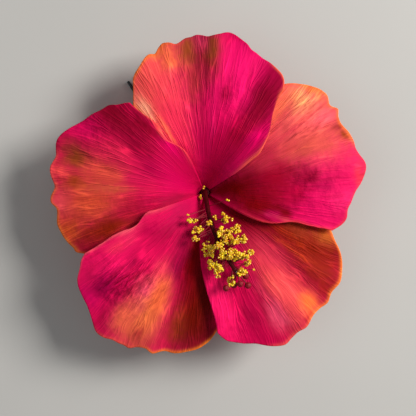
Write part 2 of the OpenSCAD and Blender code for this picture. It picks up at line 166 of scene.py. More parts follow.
def in_place(name, points, faces, smooth=True):
    """A new piece from points in millimetres, with its place in its mesh."""
    mesh = bpy.data.meshes.new(name)
    mesh.from_pydata([tuple(p) for p in np.asarray(points, float) * MM], [], faces)
    mesh.validate()
    mesh.polygons.foreach_set("use_smooth", [smooth] * len(mesh.polygons))
    piece = bpy.data.objects.new(name, mesh)
    bpy.context.scene.collection.objects.link(piece)
    return piece


def rounded_copy(node, width, joined=0.004):
    """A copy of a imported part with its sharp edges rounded."""
    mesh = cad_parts[node].data.copy()
    mesh.materials.clear()
    shape = bmesh.new()
    shape.from_mesh(mesh)
    bmesh.ops.remove_doubles(shape, verts=shape.verts, dist=joined * MM)
    flat = math.radians(3)
    bmesh.ops.dissolve_limit(shape, angle_limit=flat, verts=shape.verts, edges=shape.edges)
    sharp = [e for e in shape.edges if e.calc_face_angle(0) > math.radians(SHARP_DEGREES)]
    bmesh.ops.bevel(shape, geom=sharp, offset=width * MM, segments=2, profile=0.5,
                    affect="EDGES", clamp_overlap=True)
    bmesh.ops.triangulate(shape, faces=[f for f in shape.faces if len(f.verts) > 4])
    shape.to_mesh(mesh)
    shape.free()
    mesh.polygons.foreach_set("use_smooth", [True] * len(mesh.polygons))
    mesh.set_sharp_from_angle(angle=math.radians(34))
    piece = bpy.data.objects.new(node.title(), mesh)
    bpy.context.scene.collection.objects.link(piece)
    return piece


def fit(piece, finish, node, body="flower_jaw"):
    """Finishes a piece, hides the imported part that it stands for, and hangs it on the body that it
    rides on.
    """
    finish.put_on(piece)
    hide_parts(node)
    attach(piece, body)


lacquer = Finish("black_lacquer", Coat_Weight=0.3, Coat_Roughness=0.12, Specular_IOR_Level=0.4)
orange_peel = lacquer.grain(1.6, 3)
scuffs = lacquer.grain(0.35, 6).between(0.55, 0.75)
lacquer.feed(
    Base_Color=lacquer.mixed(scuffs * 0.35, "#08080a", "#222224"),
    Roughness=0.3 + scuffs * 0.22 + orange_peel * 0.05,
)
lacquer.relief(orange_peel * 0.012 + lacquer.grain(9, 2) * 0.003)
for node, body in (("lower_arm", "lower_jaw"), ("upper_arm", "flower_jaw")):
    fit(rounded_copy(node, TUMBLED_EDGE), lacquer, node, body)


# ---- The hinge pin ----------------------------------------------------------
# A plain steel rivet, pushed through all four ears and headed over outside the
# upper arm's pair. The jaws turn on it.
PIN_R, PIN_EDGE = 0.8, 0.16
steel = Finish("wire_steel", Metallic=1.0)
turned = steel.grain(2.5, 3, stretch=(1, 1, 6))
steel.feed(
    Base_Color=steel.mixed(turned, "#8d9093", "#b4b7b9"),
    Roughness=0.26 + turned * 0.2,
)
steel.relief(turned * 0.006)
fit(rounded_copy("hinge_pin", PIN_EDGE), steel, "hinge_pin")


# ---- The torsion spring -----------------------------------------------------
# Four turns of 0.5 mm music wire round the pin. One leg presses on each lever,
# so that the jaws spring shut, and the coil winds up as they open.
CLIP_ANGLE, HINGE_AHEAD, CLIP_ASIDE = math.radians(124), 2.0, 1.55
FLOWER_R = 56.0
THROAT = np.array([-0.021, 0.003]) * FLOWER_R
PIN_Z = ARM_SHEET + JAW_GAP / 2
SPRING_WIRE, SPRING_TURNS, SPRING_PLAY = 0.5, 4, 0.2
SPRING_R = PIN_R + SPRING_PLAY + SPRING_WIRE / 2
SPRING_HALF_W, SPRING_LEG, SPRING_LEG_Z = 2.2, 8.0, 1.8


def on_clip(points):
    """Points in the clip's own directions, about the pin's middle, as placed."""
    x, y, z = np.asarray(points, float).reshape(-1, 3).T
    x, y = x + HINGE_AHEAD, y - CLIP_ASIDE
    c, s = math.cos(CLIP_ANGLE), math.sin(CLIP_ANGLE)
    return np.stack([THROAT[0] + c * x - s * y, THROAT[1] + s * x + c * y, PIN_Z + z], 1)


def new_tree(name, **inputs):
    """An empty tree with Geometry in and out, and the sizes that it is named with."""
    tree = bpy.data.node_groups.new(name, "GeometryNodeTree")
    tree.interface.new_socket("Geometry", in_out="INPUT", socket_type="NodeSocketGeometry")
    for label, kind in inputs.items():
        label = label.replace("_", " ")
        tree.interface.new_socket(label, in_out="INPUT", socket_type="NodeSocket" + kind)
    tree.interface.new_socket("Geometry", in_out="OUTPUT", socket_type="NodeSocketGeometry")
    return tree, tree.nodes.new("NodeGroupInput"), tree.nodes.new("NodeGroupOutput")


def step(tree, kind, settings=None, **sockets):
    """One node of a tree, with its settings, its values and what leads to it."""
    made = tree.nodes.new(kind)
    for key, value in (settings or {}).items():
        setattr(made, key, value)
    for key, value in sockets.items():
        socket = made.inputs[key.replace("_", " ")]
        if isinstance(value, bpy.types.NodeSocket):
            tree.links.new(value, socket)
        else:
            socket.default_value = value
    return made


def run_tree(piece, tree, values):
    """Runs a tree, with its inputs given by name, and keeps its result as a plain mesh."""
    modifier = piece.modifiers.new("made", "NODES")
    modifier.node_group = tree
    for item in tree.interface.items_tree:
        if item.in_out == "INPUT" and item.name in values:
            modifier[item.identifier] = values[item.name]
    bpy.context.view_layer.update()
    graph = bpy.context.evaluated_depsgraph_get()
    mesh = bpy.data.meshes.new_from_object(piece.evaluated_get(graph), depsgraph=graph)
    piece.modifiers.clear()
    old, piece.data = piece.data, mesh
    bpy.data.meshes.remove(old)
    return piece


def last_steps(tree, shape, inputs, outputs, smooth=True):
    """Ends a tree: plain geometry, round-looking faces where asked, and the finish."""
    shape = step(tree, "GeometryNodeRealizeInstances", Geometry=shape.outputs[0])
    if smooth:
        shape = step(tree, "GeometryNodeSetShadeSmooth", Geometry=shape.outputs[0])
    shape = step(tree, "GeometryNodeSetMaterial", Geometry=shape.outputs[0],
                 Material=inputs.outputs["Finish"])
    tree.links.new(shape.outputs[0], outputs.inputs["Geometry"])


# Round wire along a path of edges, whose radius at each point is in "thickness".
round_wire, wire_in, wire_out = new_tree("Round wire", Sides="Int", Finish="Material")
path = step(round_wire, "GeometryNodeMeshToCurve", Mesh=wire_in.outputs["Geometry"])
thickness = step(round_wire, "GeometryNodeInputNamedAttribute", Name="thickness")
profile = step(round_wire, "GeometryNodeCurvePrimitiveCircle",
               Resolution=wire_in.outputs["Sides"], Radius=1.0)
swept = step(round_wire, "GeometryNodeCurveToMesh", Curve=path.outputs[0],
             Profile_Curve=profile.outputs[0], Scale=thickness.outputs[0], Fill_Caps=True)
last_steps(round_wire, swept, wire_in, wire_out)


def wire(name, paths, radii, sides, finish):
    """Round wire along one path or several, with a radius for each point."""
    points = np.concatenate([np.asarray(p, float) for p in paths])
    mesh = bpy.data.meshes.new(name)
    starts = np.cumsum([0] + [len(p) for p in paths])
    edges = [(i, i + 1) for a, b in zip(starts[:-1], starts[1:]) for i in range(a, b - 1)]
    mesh.from_pydata([tuple(p) for p in points * MM], edges, [])
    wide = mesh.attributes.new("thickness", "FLOAT", "POINT")
    wide.data.foreach_set("value", np.concatenate([np.asarray(r, float) for r in radii]) * MM)
    piece = bpy.data.objects.new(name, mesh)
    bpy.context.scene.collection.objects.link(piece)
    return run_tree(piece, round_wire, {"Sides": sides, "Finish": finish.material})


def rounded_ends(path, radius):
    """A path's points and radii, with both ends closed over as domes."""
    path = np.asarray(path, float)
    radius = np.broadcast_to(np.asarray(radius, float), len(path)).copy()
    turns = np.radians([0, 22, 45, 68])
    front = (path[0] - path[1]) / np.linalg.norm(path[0] - path[1])
    back = (path[-1] - path[-2]) / np.linalg.norm(path[-1] - path[-2])
    dome = lambda end, way, r: [end + way * r * (math.sin(a) - 1) for a in turns[::-1]]
    first, last = radius[0], radius[-1]
    points = dome(path[0], front, first) + list(path[1:-1]) + dome(path[-1], back, last)[::-1]
    radii = list(first * np.cos(turns[::-1])) + list(radius[1:-1]) + list(last * np.cos(turns))
    return np.array(points), np.array(radii)


sweep = np.linspace(0, 1, SPRING_TURNS * 28 + 15)
coil_turn = np.radians(-90 + (360 * SPRING_TURNS + 180) * sweep)
coil = np.stack([SPRING_R * np.cos(coil_turn), SPRING_HALF_W * (2 * sweep - 1),
                 SPRING_R * np.sin(coil_turn)], 1)
leg_start = np.array([[-SPRING_LEG, -SPRING_HALF_W, -SPRING_LEG_Z],
                      [-SPRING_LEG * 0.75, -SPRING_HALF_W, -SPRING_LEG_Z],
                      [-SPRING_LEG / 2, -SPRING_HALF_W, -(SPRING_LEG_Z + SPRING_R) / 2 - 0.1]])
leg_end = leg_start[::-1] * [1, -1, -1]
spring_path, spring_radii = rounded_ends(
    on_clip(np.concatenate([leg_start, coil, leg_end])), SPRING_WIRE / 2)
music_wire = Finish("spring_steel", Metallic=1.0)
drawn = music_wire.grain(3, 4)
music_wire.feed(
    Base_Color=music_wire.mixed(drawn, "#a9acaf", "#c8cbce"),
    Roughness=0.2 + drawn * 0.18,
)
music_wire.relief(drawn * 0.004)
spring = wire("Torsion_Spring", [spring_path], [spring_radii], 16, music_wire)
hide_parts("torsion_spring")
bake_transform(spring)


# ---- The glue on the upper arm ----------------------------------------------
# A flattened bead of hot-melt glue that holds the felt disc on the arm. It was
# squeezed out to an uneven edge and set milky.
GLUE_LONG, GLUE_WIDE, GLUE_THICK = 8.0, 3.4, 0.6
ARM_TOP = JAW_GAP / 2 + ARM_SHEET

hot_melt = Finish("hot_melt", Roughness=0.3, Subsurface_Weight=0.5, Subsurface_Scale=0.002,
                  Subsurface_Radius=(1.0, 0.9, 0.7))
strings = hot_melt.grain(0.5, 4)
hot_melt.feed(Base_Color=hot_melt.mixed(strings, "#d9d3c2", "#efeadb"))
hot_melt.relief(strings * 0.15 + hot_melt.grain(2.5, 2) * 0.03)


def turned_shape(profile, outline, steps=96, closed=True):
    """A shape turned about the z axis. The profile is a list of (reach, height) with
    reach as a share of the outline's, from the middle below to the middle above."""
    angles = np.linspace(0, 2 * math.pi, steps, endpoint=False)
    rim = np.array([outline(a) for a in angles])
    rings = [np.stack([rim[:, 0] * p[0], rim[:, 1] * p[0], np.full(steps, p[1])], 1)
             for p in profile]
    points = np.concatenate(rings)
    faces = []
    for i in range(len(profile) - 1 + (0 if closed else 1)):
        low, high = i * steps, ((i + 1) % len(profile)) * steps
        faces += [(low + k, low + (k + 1) % steps, high + (k + 1) % steps, high + k)
                  for k in range(steps)]
    if closed:
        faces.append(tuple(reversed(range(steps))))
        faces.append(tuple(range((len(profile) - 1) * steps, len(profile) * steps)))
    return points, faces


def bead_edge(angle):
    """The bead's outline: a long round shape whose edge swells here and there."""
    straight = GLUE_LONG / 2 + HINGE_AHEAD / 2
    swell = 1 + 0.03 * math.sin(5 * angle + 1) + 0.025 * math.sin(9 * angle)
    x, y = math.cos(angle), math.sin(angle)
    return (straight * max(-1, min(1, 1.6 * x)) + GLUE_WIDE * x * swell - HINGE_AHEAD / 2,
            GLUE_WIDE * y * swell)


bead_profile = [(0.9, 0.0), (0.96, 0.03), (0.99, 0.15), (1.0, 0.3), (0.99, 0.45), (0.96, 0.57),
                (0.9, GLUE_THICK)]
bead_points, bead_faces = turned_shape(bead_profile, bead_edge)
bead = in_place("Clip_Glue", on_clip(bead_points + [0, 0, ARM_TOP]), bead_faces)
fit(bead, hot_melt, "clip_glue")


# ---- The felt disc and strap ------------------------------------------------
# A disc of 1.6 mm red wool felt under the flower, and a narrow strap of thinner
# felt that goes round the upper arm. The strap's ends are glued up to the disc.
FELT_R, FELT_THICK, FELT_Z, GLUE_LINE = 13.0, 1.6, 6.0, 0.05
STRAP_X, STRAP_W, STRAP_THICK = 2.8, 5.4, 0.8
FIBRES_A_SQUARE_METRE, FIBRE_LONG = 750000, 0.7

felt = Finish("felt_red", Roughness=0.95, Sheen_Weight=0.5, Sheen_Roughness=0.5,
              Sheen_Tint=dye("#e58a90"), Specular_IOR_Level=0.15)
matted = felt.grain(1.3, 8)
hairs = felt.grain(6, 3, stretch=(1, 0.35, 1))
felt.feed(Base_Color=felt.mixed(
    (matted * 0.7 + hairs * 0.3).between(0.35, 0.65), "#8c1428", "#cb3049"))
felt.relief(matted * 0.28 + hairs * 0.08)

disc_profile = [(0.02, 0.0), (0.5, 0.0), (0.9, 0.02), (0.975, 0.12), (0.995, 0.45), (1.0, 0.8),
                (0.995, 1.2), (0.975, 1.5), (0.9, 1.59), (0.5, FELT_THICK), (0.02, FELT_THICK)]


def disc_edge(angle):
    """The felt's cut edge, which is not quite round."""
    cut = FELT_R * (1 + 0.004 * math.sin(7 * angle) + 0.003 * math.sin(17 * angle + 2))
    return cut * math.cos(angle), cut * math.sin(angle)


disc_points, disc_faces = turned_shape(disc_profile, disc_edge, 128)
disc = in_place("Felt_Disc", disc_points + [*THROAT, FELT_Z], disc_faces)
fit(disc, felt, "felt_disc")

strap_top, strap_low = ARM_TOP + GLUE_THICK, JAW_GAP / 2 - GLUE_LINE - STRAP_THICK
half_strap, strap_end = STRAP_THICK / 2, 6.5
strap_line = np.array([[-strap_end, strap_top - half_strap], [-5.6, strap_top - half_strap],
                       [-4.9, strap_top - half_strap - 0.06], [-4.56, strap_top - 0.85],
                       [-4.5, 2.3], [-4.44, 1.95], [-4.15, strap_low + half_strap + 0.02],
                       [-3.6, strap_low + half_strap], [-2, strap_low + half_strap]])
strap_line = np.concatenate([strap_line, strap_line[::-1] * [-1, 1]])
ahead = np.gradient(strap_line, axis=0)
ahead /= np.linalg.norm(ahead, axis=1)[:, None]
aside = np.stack([-ahead[:, 1], ahead[:, 0]], 1)
# The strap's cut edges are round: (share of the half width, share of the thickness).
strap_edge = [(-1, 0.45), (-0.96, 0.85), (-0.88, 1), (0, 1), (0.88, 1), (0.96, 0.85), (1, 0.45),
              (1, -0.45), (0.96, -0.85), (0.88, -1), (0, -1), (-0.88, -1), (-0.96, -0.85),
              (-1, -0.45)]
strap_points, strap_faces = [], []
for at, out in zip(strap_line, aside):
    for across, off in strap_edge:
        y, z = at + out * off * half_strap * 0.985
        strap_points.append((STRAP_X + STRAP_W / 2 + across * STRAP_W / 2, y, z))
sides = len(strap_edge)
for i in range(len(strap_line) - 1):
    for k in range(sides):
        n = (k + 1) % sides
        strap_faces.append((i * sides + k, (i + 1) * sides + k, (i + 1) * sides + n, i * sides + n))
strap_faces.append(tuple(range(sides)))
strap_faces.append(tuple(reversed(range(len(strap_points) - sides, len(strap_points)))))


def outward(piece):
    """Turns a closed piece's faces so that they all point outwards."""
    shape = bmesh.new()
    shape.from_mesh(piece.data)
    bmesh.ops.recalc_face_normals(shape, faces=shape.faces)
    shape.to_mesh(piece.data)
    shape.free()


strap = in_place("Felt_Strap", on_clip(strap_points), strap_faces)
outward(strap)
fit(strap, felt, "felt_strap")

# Loose fibres on the disc's face and edge, each a thin three-sided hair.
fuzz_tree, fuzz_in, fuzz_out = new_tree(
    "Felt fuzz", Fibres_a_square_metre="Float", Fibre_length="Float", Seed="Int",
    Finish="Material")
spots = step(fuzz_tree, "GeometryNodeDistributePointsOnFaces",
             Mesh=fuzz_in.outputs["Geometry"], Seed=fuzz_in.outputs["Seed"],
             Density=fuzz_in.outputs["Fibres a square metre"])
hair = step(fuzz_tree, "GeometryNodeMeshCone", Vertices=3, Radius_Top=0.00001,
            Radius_Bottom=0.000025, Depth=fuzz_in.outputs["Fibre length"])
lean = step(fuzz_tree, "FunctionNodeRandomValue", {"data_type": "FLOAT_VECTOR"},
            Seed=fuzz_in.outputs["Seed"])
lean.inputs["Min"].default_value = (-1.2, -1.2, -3.1)
lean.inputs["Max"].default_value = (1.2, 1.2, 3.1)
leaning = step(fuzz_tree, "FunctionNodeRotateEuler", {"space": "LOCAL"},
               Rotation=spots.outputs["Rotation"], Rotate_By=lean.outputs[0])
planted = step(fuzz_tree, "GeometryNodeInstanceOnPoints", Points=spots.outputs["Points"],
               Instance=hair.outputs["Mesh"], Rotation=leaning.outputs[0])
last_steps(fuzz_tree, planted, fuzz_in, fuzz_out, smooth=False)
fuzz = in_place("Felt_Fuzz", disc_points + [*THROAT, FELT_Z], disc_faces)
run_tree(fuzz, fuzz_tree, {"Fibres a square metre": float(FIBRES_A_SQUARE_METRE),
                           "Fibre length": FIBRE_LONG * MM, "Seed": 5,
                           "Finish": felt.material})
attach(fuzz, "flower_jaw")


# ---- The petals -------------------------------------------------------------
# Five petals of 1 mm foam sheet, pressed in a hot mould that leaves fine veins
# and folds, then airbrushed by hand in pink, crimson, coral and orange. Their colours
# here also hold painted shade, painted shadow and painted highlights. Each one's upper
# edge lies over the next petal.
PETAL_THICK, PETAL_GAP = 1.0, 0.6
THROAT_R, CUP_RISE, CROWN_R, MARGIN_DROOP = 1.6, 13.0, 28.0, 3.0
RUFFLE_H, CALYX_FLOOR_Z = 0.7, 8.4
COVERED_BASE, COVERED_RIM = 48, 45
TWIST_RATE, TWIST_GROWTH, CUP_POWER = (PETAL_THICK + PETAL_GAP) / 66, 1.9, 2.4
THROAT_Z = CALYX_FLOOR_Z + GLUE_LINE + PETAL_THICK / 2 + TWIST_RATE * COVERED_BASE

# Each petal's middle direction, the half width of its upper side at the base and
# at the margin in degrees, its margin as (degrees, share of the flower's radius),
# and its folds as (degrees, share of the way out, height, half width, half length).
TOP = (95, 64, 43,
       [(-43, 0.79), (-40, 0.85), (-35, 0.895), (-27, 0.91), (-20, 0.965), (-14, 1.005),
        (-8, 0.985), (-3, 0.98), (4, 0.955), (9, 0.968), (17, 0.93), (25, 0.868), (31, 0.77),
        (38, 0.68), (45, 0.57)],
       [(-27, 0.75, -1.0, 9, 0.3), (-11, 0.85, 1.1, 8, 0.3), (4, 0.9, -1.2, 8, 0.3),
        (24, 0.8, 1.3, 13, 0.35), (-58, 0.38, -0.8, 10, 0.12)])
RIGHT = (24, 56, 41,
         [(-41, 0.82), (-36, 0.885), (-30, 0.9), (-24, 0.935), (-17, 1.005), (-13, 1.012),
          (-8, 0.98), (-2, 0.975), (3, 0.95), (8, 0.968), (11, 0.953), (15, 0.975), (21, 0.94),
          (27, 0.875), (34, 0.77), (45, 0.58)],
         [(-28, 0.75, 0.8, 9, 0.2), (-12, 0.8, 1.1, 9, 0.2), (-2, 0.55, -0.8, 9, 0.15),
          (8, 0.9, -1.0, 6, 0.2), (20, 0.75, 0.9, 10, 0.25)])
LOWER_RIGHT = (-46, 51, 39,
               [(-39, 0.875), (-35, 0.943), (-26, 0.993), (-19, 1.06), (-15, 1.065),
                (-11, 1.046), (-7, 1.054), (-2, 1.023), (4, 1.029), (8, 1.007), (13, 1.009),
                (19, 0.963), (25, 0.87), (30, 0.81), (38, 0.68), (45, 0.54)],
               [(-20, 0.85, -1.1, 8, 0.3), (-9, 0.85, 1.0, 7, 0.3), (4, 0.8, -0.8, 8, 0.3),
                (20, 0.8, 1.0, 12, 0.3)])
LOWER_LEFT = (-112, 48, 41,
              [(-41, 0.83), (-38, 0.904), (-35, 0.955), (-28, 1.0), (-23, 1.029), (-17, 1.096),
               (-13, 1.107), (-6, 1.086), (1, 1.046), (4, 1.057), (8, 1.029), (14, 1.014),
               (20, 0.975), (25, 0.896), (32, 0.8), (45, 0.6)],
              [(-22, 0.8, -1.2, 9, 0.25), (-8, 0.75, 1.0, 9, 0.3), (10, 0.85, -0.8, 10, 0.25)])
LEFT = (176, 63, 46,
        [(-46, 0.714), (-41, 0.782), (-35, 0.829), (-28, 0.875), (-22, 0.925), (-16, 0.975),
         (-12, 0.98), (-9, 0.966), (-4, 0.975), (2, 0.946), (6, 0.964), (11, 0.93),
         (17, 0.946), (24, 0.916), (31, 0.848), (38, 0.73), (45, 0.57)],
        [(-24, 0.7, 0.8, 10, 0.25), (0, 0.65, -0.8, 12, 0.3), (18, 0.8, 0.8, 10, 0.25)])

# Wrinkles that the mould pressed in, as (degrees, reach, heading, half length, half
# width, height), in millimetres and in degrees from the x axis.
WRINKLES = {
    "Petal_Lower_Left": [(-128, 36, 36, 7, 0.9, 0.35), (-124, 38, 38, 6, 0.7, 0.3),
                         (-119, 34, 42, 5, 0.7, 0.35), (-117, 37, 45, 5, 0.8, 0.3),
                         (-110, 30, 50, 4.5, 0.7, 0.3), (-132, 42, 33, 6, 0.9, -0.35),
                         (-121, 41, 40, 6, 0.8, -0.3), (-113, 33, 48, 5, 0.7, -0.3)],
    "Petal_Right": [(36, 42, 34, 7, 0.8, -0.3), (31, 38, 30, 8, 0.8, 0.28),
                    (27, 34, 26, 6, 0.7, -0.25), (5, 36, 20, 3, 1.2, 0.3)],
    "Petal_Top": [(84, 40, 84, 9, 0.9, 0.22), (90, 38, 92, 8, 0.8, -0.22),
                  (77, 34, 70, 7, 0.9, -0.25), (72, 38, 66, 7, 0.9, 0.2)],
    "Petal_Left": [(158, 33, 140, 6, 0.8, 0.22), (166, 38, 150, 7, 0.9, -0.25),
                   (186, 42, 172, 6, 1.0, 0.22), (150, 30, 128, 6, 0.8, -0.2)],
    "Petal_Lower_Right": [(-64, 44, -66, 7, 1.0, -0.3), (-57, 45, -60, 7, 1.0, 0.25),
                          (-50, 36, -50, 7, 0.8, 0.22), (-72, 42, -78, 5, 0.9, -0.2)],
}

# The passes over each petal, in turn, after its ground colour: airbrushed dye, and painted
# shade, painted shadow and painted highlights where the light falls. Each is (degrees from
# the x axis, reach from the throat, half width in degrees, half length, colour, strength).
DYE_AND_PAINTED_LIGHT = {
    # The dark crimson on the right side is painted shade; the brown dips in the margin are part brown
    # dye, part painted shade; the pale salmon spot on the left is a painted highlight.
    "Petal_Top": ("#ce0450", [
        (108, 18, 12, 16, "#e20a52", 0.8), (72, 12, 26, 14, "#ba003c", 0.9),
        (118, 42, 15, 17, "#fc5450", 1.0), (112, 30, 9, 12, "#f02850", 0.8),
        (74, 43, 10, 12, "#f00c66", 1.0), (57, 37, 8, 16, "#8c0026", 1.0),
        (60, 23, 10, 6, "#a4002e", 0.9), (47, 26, 5, 4.5, "#d40058", 0.9),
        (78, 35, 3, 4.5, "#96002c", 0.8), (88, 47, 5, 9, "#9c2028", 0.9),
        (87.5, 51, 2.5, 5, "#86400e", 0.7), (97, 49, 4, 6, "#86400e", 0.9),
        (96, 38, 5, 8, "#b02c30", 0.8),
        (92, 52.5, 2.5, 3, "#d8305a", 0.9), (105, 49, 4, 5, "#ff7040", 0.7),
        (110, 53, 5, 2.5, "#ff7a40", 0.7), (126, 35, 3.5, 6, "#ffa484", 0.95),
        (121, 24, 2, 6, "#ff6c50", 0.7), (130, 38, 2, 9, "#f87848", 0.8),
        (78, 55, 6, 2.5, "#b4003c", 0.7), (93, 27, 4, 8, "#c81048", 0.5),
        (84, 24, 2.5, 9, "#d8105c", 0.5)]),
    # The very dark red over the base is painted shade where the cup's wall turns from the light; the
    # pale orange spot near the top is a painted highlight.
    "Petal_Right": ("#e00a58", [
        (36, 42, 18, 22, "#ec5456", 1.0), (6, 10, 34, 17, "#760002", 1.0),
        (-14, 19, 16, 9, "#840008", 1.0), (10, 24, 16, 7, "#9c0022", 0.9),
        (30, 24, 9, 6, "#b4203a", 0.7), (44, 47, 6, 5, "#f48a62", 1.0),
        (50, 34, 5, 14, "#f87850", 0.8), (24, 41, 7, 9, "#dc5046", 0.9),
        (22.5, 52.5, 3, 2.6, "#9c3c10", 0.95), (26.5, 52, 1.5, 3.5, "#7c1c10", 0.7),
        (31, 49, 3, 5, "#fc5c68", 0.8),
        (35, 36, 1.2, 9, "#d42c48", 0.5), (28, 33, 6, 5, "#d63e44", 0.6),
        (8, 35, 5, 4.5, "#8e0028", 0.9), (3, 41, 3, 3.5, "#a40040", 0.7),
        (14, 30, 5, 4, "#a00a2c", 0.7), (-9, 41, 8, 8, "#e2085a", 0.9),
        (-2, 30, 6, 4, "#b80036", 0.8), (-15, 28, 4, 5, "#820012", 1.0),
        (-20, 24, 3.5, 3, "#c00050", 0.8), (-20, 38, 1.6, 12, "#fa5460", 0.5),
        (45, 53, 8, 1.8, "#ff7840", 0.8), (6, 53, 5, 1.8, "#e03044", 0.8),
        (-4, 48, 5, 5, "#ee2468", 0.6)]),
    # The dark brown right third is part dye, part painted shadow of the right petal's edge; the dark
    # red at the base is painted shade.
    "Petal_Lower_Right": ("#be0040", [
        (-83, 40, 8, 17, "#fa1462", 1.0), (-51, 43, 8, 17, "#ee4a4e", 0.95),
        (-28, 42, 13, 20, "#8e1a0a", 1.0), (-71, 48, 4.5, 6, "#9c0034", 0.9),
        (-60, 49, 3.5, 6, "#f04c70", 0.8), (-50, 57, 2.5, 2.5, "#a80c20", 0.7),
        (-73, 50, 2, 8, "#c80046", 0.7),
        (-47, 52, 3.5, 5, "#fa6a30", 0.9), (-60, 40, 2, 10, "#dc3458", 0.6),
        (-39, 53, 3, 4, "#b02414", 0.6),
        (-20, 45, 4, 5, "#b8541c", 0.9), (-22, 33, 5, 6, "#a8401a", 0.7),
        (-35, 47, 4, 6, "#9a2410", 0.6), (-18, 22, 16, 12, "#760008", 0.95),
        (-36, 14, 20, 12, "#780008", 0.9), (-60, 15, 14, 10, "#9c003c", 0.8),
        (-43, 30, 7, 8, "#d0304a", 0.6), (-82, 22, 5, 6, "#a40040", 0.7),
        (-62, 30, 6, 8, "#c80848", 0.7), (-27, 30, 2, 8, "#b02410", 0.5),
        (-33, 36, 1.5, 9, "#c83820", 0.5)]),
    # The dark wedge on the right is painted shadow under the lower right petal's edge.
    "Petal_Lower_Left": ("#da084e", [
        (-144, 44, 10, 14, "#ee105c", 0.9), (-116, 47, 6.5, 14, "#f06c40", 1.0),
        (-95, 42, 10, 20, "#761204", 1.0), (-137, 48, 4.5, 6, "#a20042", 1.0),
        (-135, 36, 4, 5, "#b80848", 0.6), (-122, 41, 5, 6, "#dc3c60", 0.8),
        (-121, 35, 4, 5, "#f0405c", 0.35), (-114, 40, 4, 8, "#ee6038", 0.8),
        (-108, 27, 8, 6, "#96003c", 0.9), (-112, 18, 12, 8, "#a00038", 0.8),
        (-132, 18, 8, 6, "#a40036", 0.8), (-123, 52, 4, 6, "#fa6648", 0.8),
        (-116, 54, 1.8, 4, "#b00c30", 0.6), (-99, 24, 8, 16, "#860008", 1.0),
        (-90, 34, 5, 18, "#640800", 0.9), (-102, 48, 4, 7, "#903008", 0.7),
        (-140, 10, 22, 7, "#b40046", 0.8), (-154, 28, 5, 5, "#f03060", 0.9),
        (-142, 22, 7, 4, "#b20040", 0.6), (-148, 36, 3, 3, "#f83058", 0.6),
        (-138, 55, 5, 3, "#c80058", 0.6), (-147, 30, 4, 3, "#f82c60", 0.6)]),
    # The dark crimson at the top and the dark brown low down are painted shade, where the surface
    # turns from the light.
    "Petal_Left": ("#d20648", [
        (140, 40, 9, 15, "#7c001e", 1.0), (152, 47, 6, 7, "#cc0450", 0.9),
        (146, 28, 8, 8, "#94002c", 0.9), (127, 20, 6, 6, "#ee0060", 1.0),
        (158, 34, 7, 8, "#d42048", 0.8), (165, 47, 5, 6, "#8a3e10", 0.95),
        (176, 46, 3.5, 5, "#8c3000", 1.0), (172, 52, 2.5, 3, "#f04448", 0.9),
        (170, 36, 7, 9, "#e04a3c", 0.9), (186, 40, 11, 13, "#cc442c", 0.95),
        (184, 51, 5, 5, "#e04450", 0.8), (201, 36, 7, 16, "#841a06", 1.0),
        (196, 50, 5, 4, "#d84c24", 0.9), (192, 24, 9, 7, "#a80c2c", 0.7),
        (160, 12, 24, 8, "#d40052", 0.8), (192, 12, 10, 9, "#a00034", 0.9),
        (158, 20, 8, 5, "#b00040", 0.7), (168, 24, 6, 6, "#dc1450", 0.7),
        (132, 30, 4, 6, "#86001e", 0.8), (178, 34, 3, 8, "#d8603c", 0.5)]),
}
# The orange left bare along the cut edges, as (from, to in degrees, colour, strength).
RIM_PAINT = {
    "Petal_Top": [(104, 142, "#e8702c", 0.9), (100, 125, "#ff7034", 0.5), (30, 62, "#ff6a48", 0.8)],
    "Petal_Right": [(18, 70, "#ff7434", 0.85), (-10, 16, "#e23a44", 0.6),
                    (-30, -10, "#e8403c", 0.6)],
    "Petal_Lower_Right": [(-52, 0, "#ff7c34", 0.95), (-66, -50, "#ff5e50", 0.6)],
    "Petal_Lower_Left": [(-112, -66, "#ff7e28", 0.95), (-128, -110, "#ff6a40", 0.5),
                         (-162, -146, "#f0646a", 0.5)],
    "Petal_Left": [(178, 222, "#e0702c", 0.85), (165, 180, "#ff5a50", 0.6),
                   (112, 128, "#ff5c48", 0.7)],
}


def soft_step(low, high, x):
    """0 below low and 1 above high, with a soft step between."""
    u = np.clip((x - low) / (high - low), 0, 1)
    return u * u * (3 - 2 * u)


def curve(points, x):
    """A smooth curve through (x, y) points."""
    px, py = np.array(points, float).T
    slope = np.empty(len(px))
    slope[1:-1] = (py[2:] - py[:-2]) / (px[2:] - px[:-2])
    slope[0], slope[-1] = (py[1] - py[0]) / (px[1] - px[0]), (py[-1] - py[-2]) / (px[-1] - px[-2])
    i = np.clip(np.searchsorted(px, x, side="right") - 1, 0, len(px) - 2)
    w = px[i + 1] - px[i]
    u = (x - px[i]) / w
    return (py[i] * (1 + 2 * u) * (1 - u) ** 2 + slope[i] * w * u * (1 - u) ** 2
            + py[i + 1] * u * u * (3 - 2 * u) - slope[i + 1] * w * u * u * (1 - u))


def cup_z(r):
    """The height of the petals' middle at this distance from the throat."""
    wall = 1 - (1 - np.clip((r - THROAT_R) / (CROWN_R - THROAT_R), 0, 1)) ** CUP_POWER
    droop = np.maximum(0, (r - CROWN_R) / (FLOWER_R - CROWN_R)) ** 2
    return THROAT_Z + CUP_RISE * wall - MARGIN_DROOP * droop


def twist(r):
    """How much a petal rises for each degree round, so that it lies over the next one."""
    return TWIST_RATE * (1 + TWIST_GROWTH * (r - THROAT_R) / FLOWER_R)


def waves(x, y, size, seed):
    """Soft noise from about -1 to 1 over an array, with waves this big."""
    flat = [noise.noise((a / size + seed, b / size, seed * 1.7))
            for a, b in zip(x.ravel(), y.ravel())]
    return np.array(flat).reshape(x.shape) * 1.6


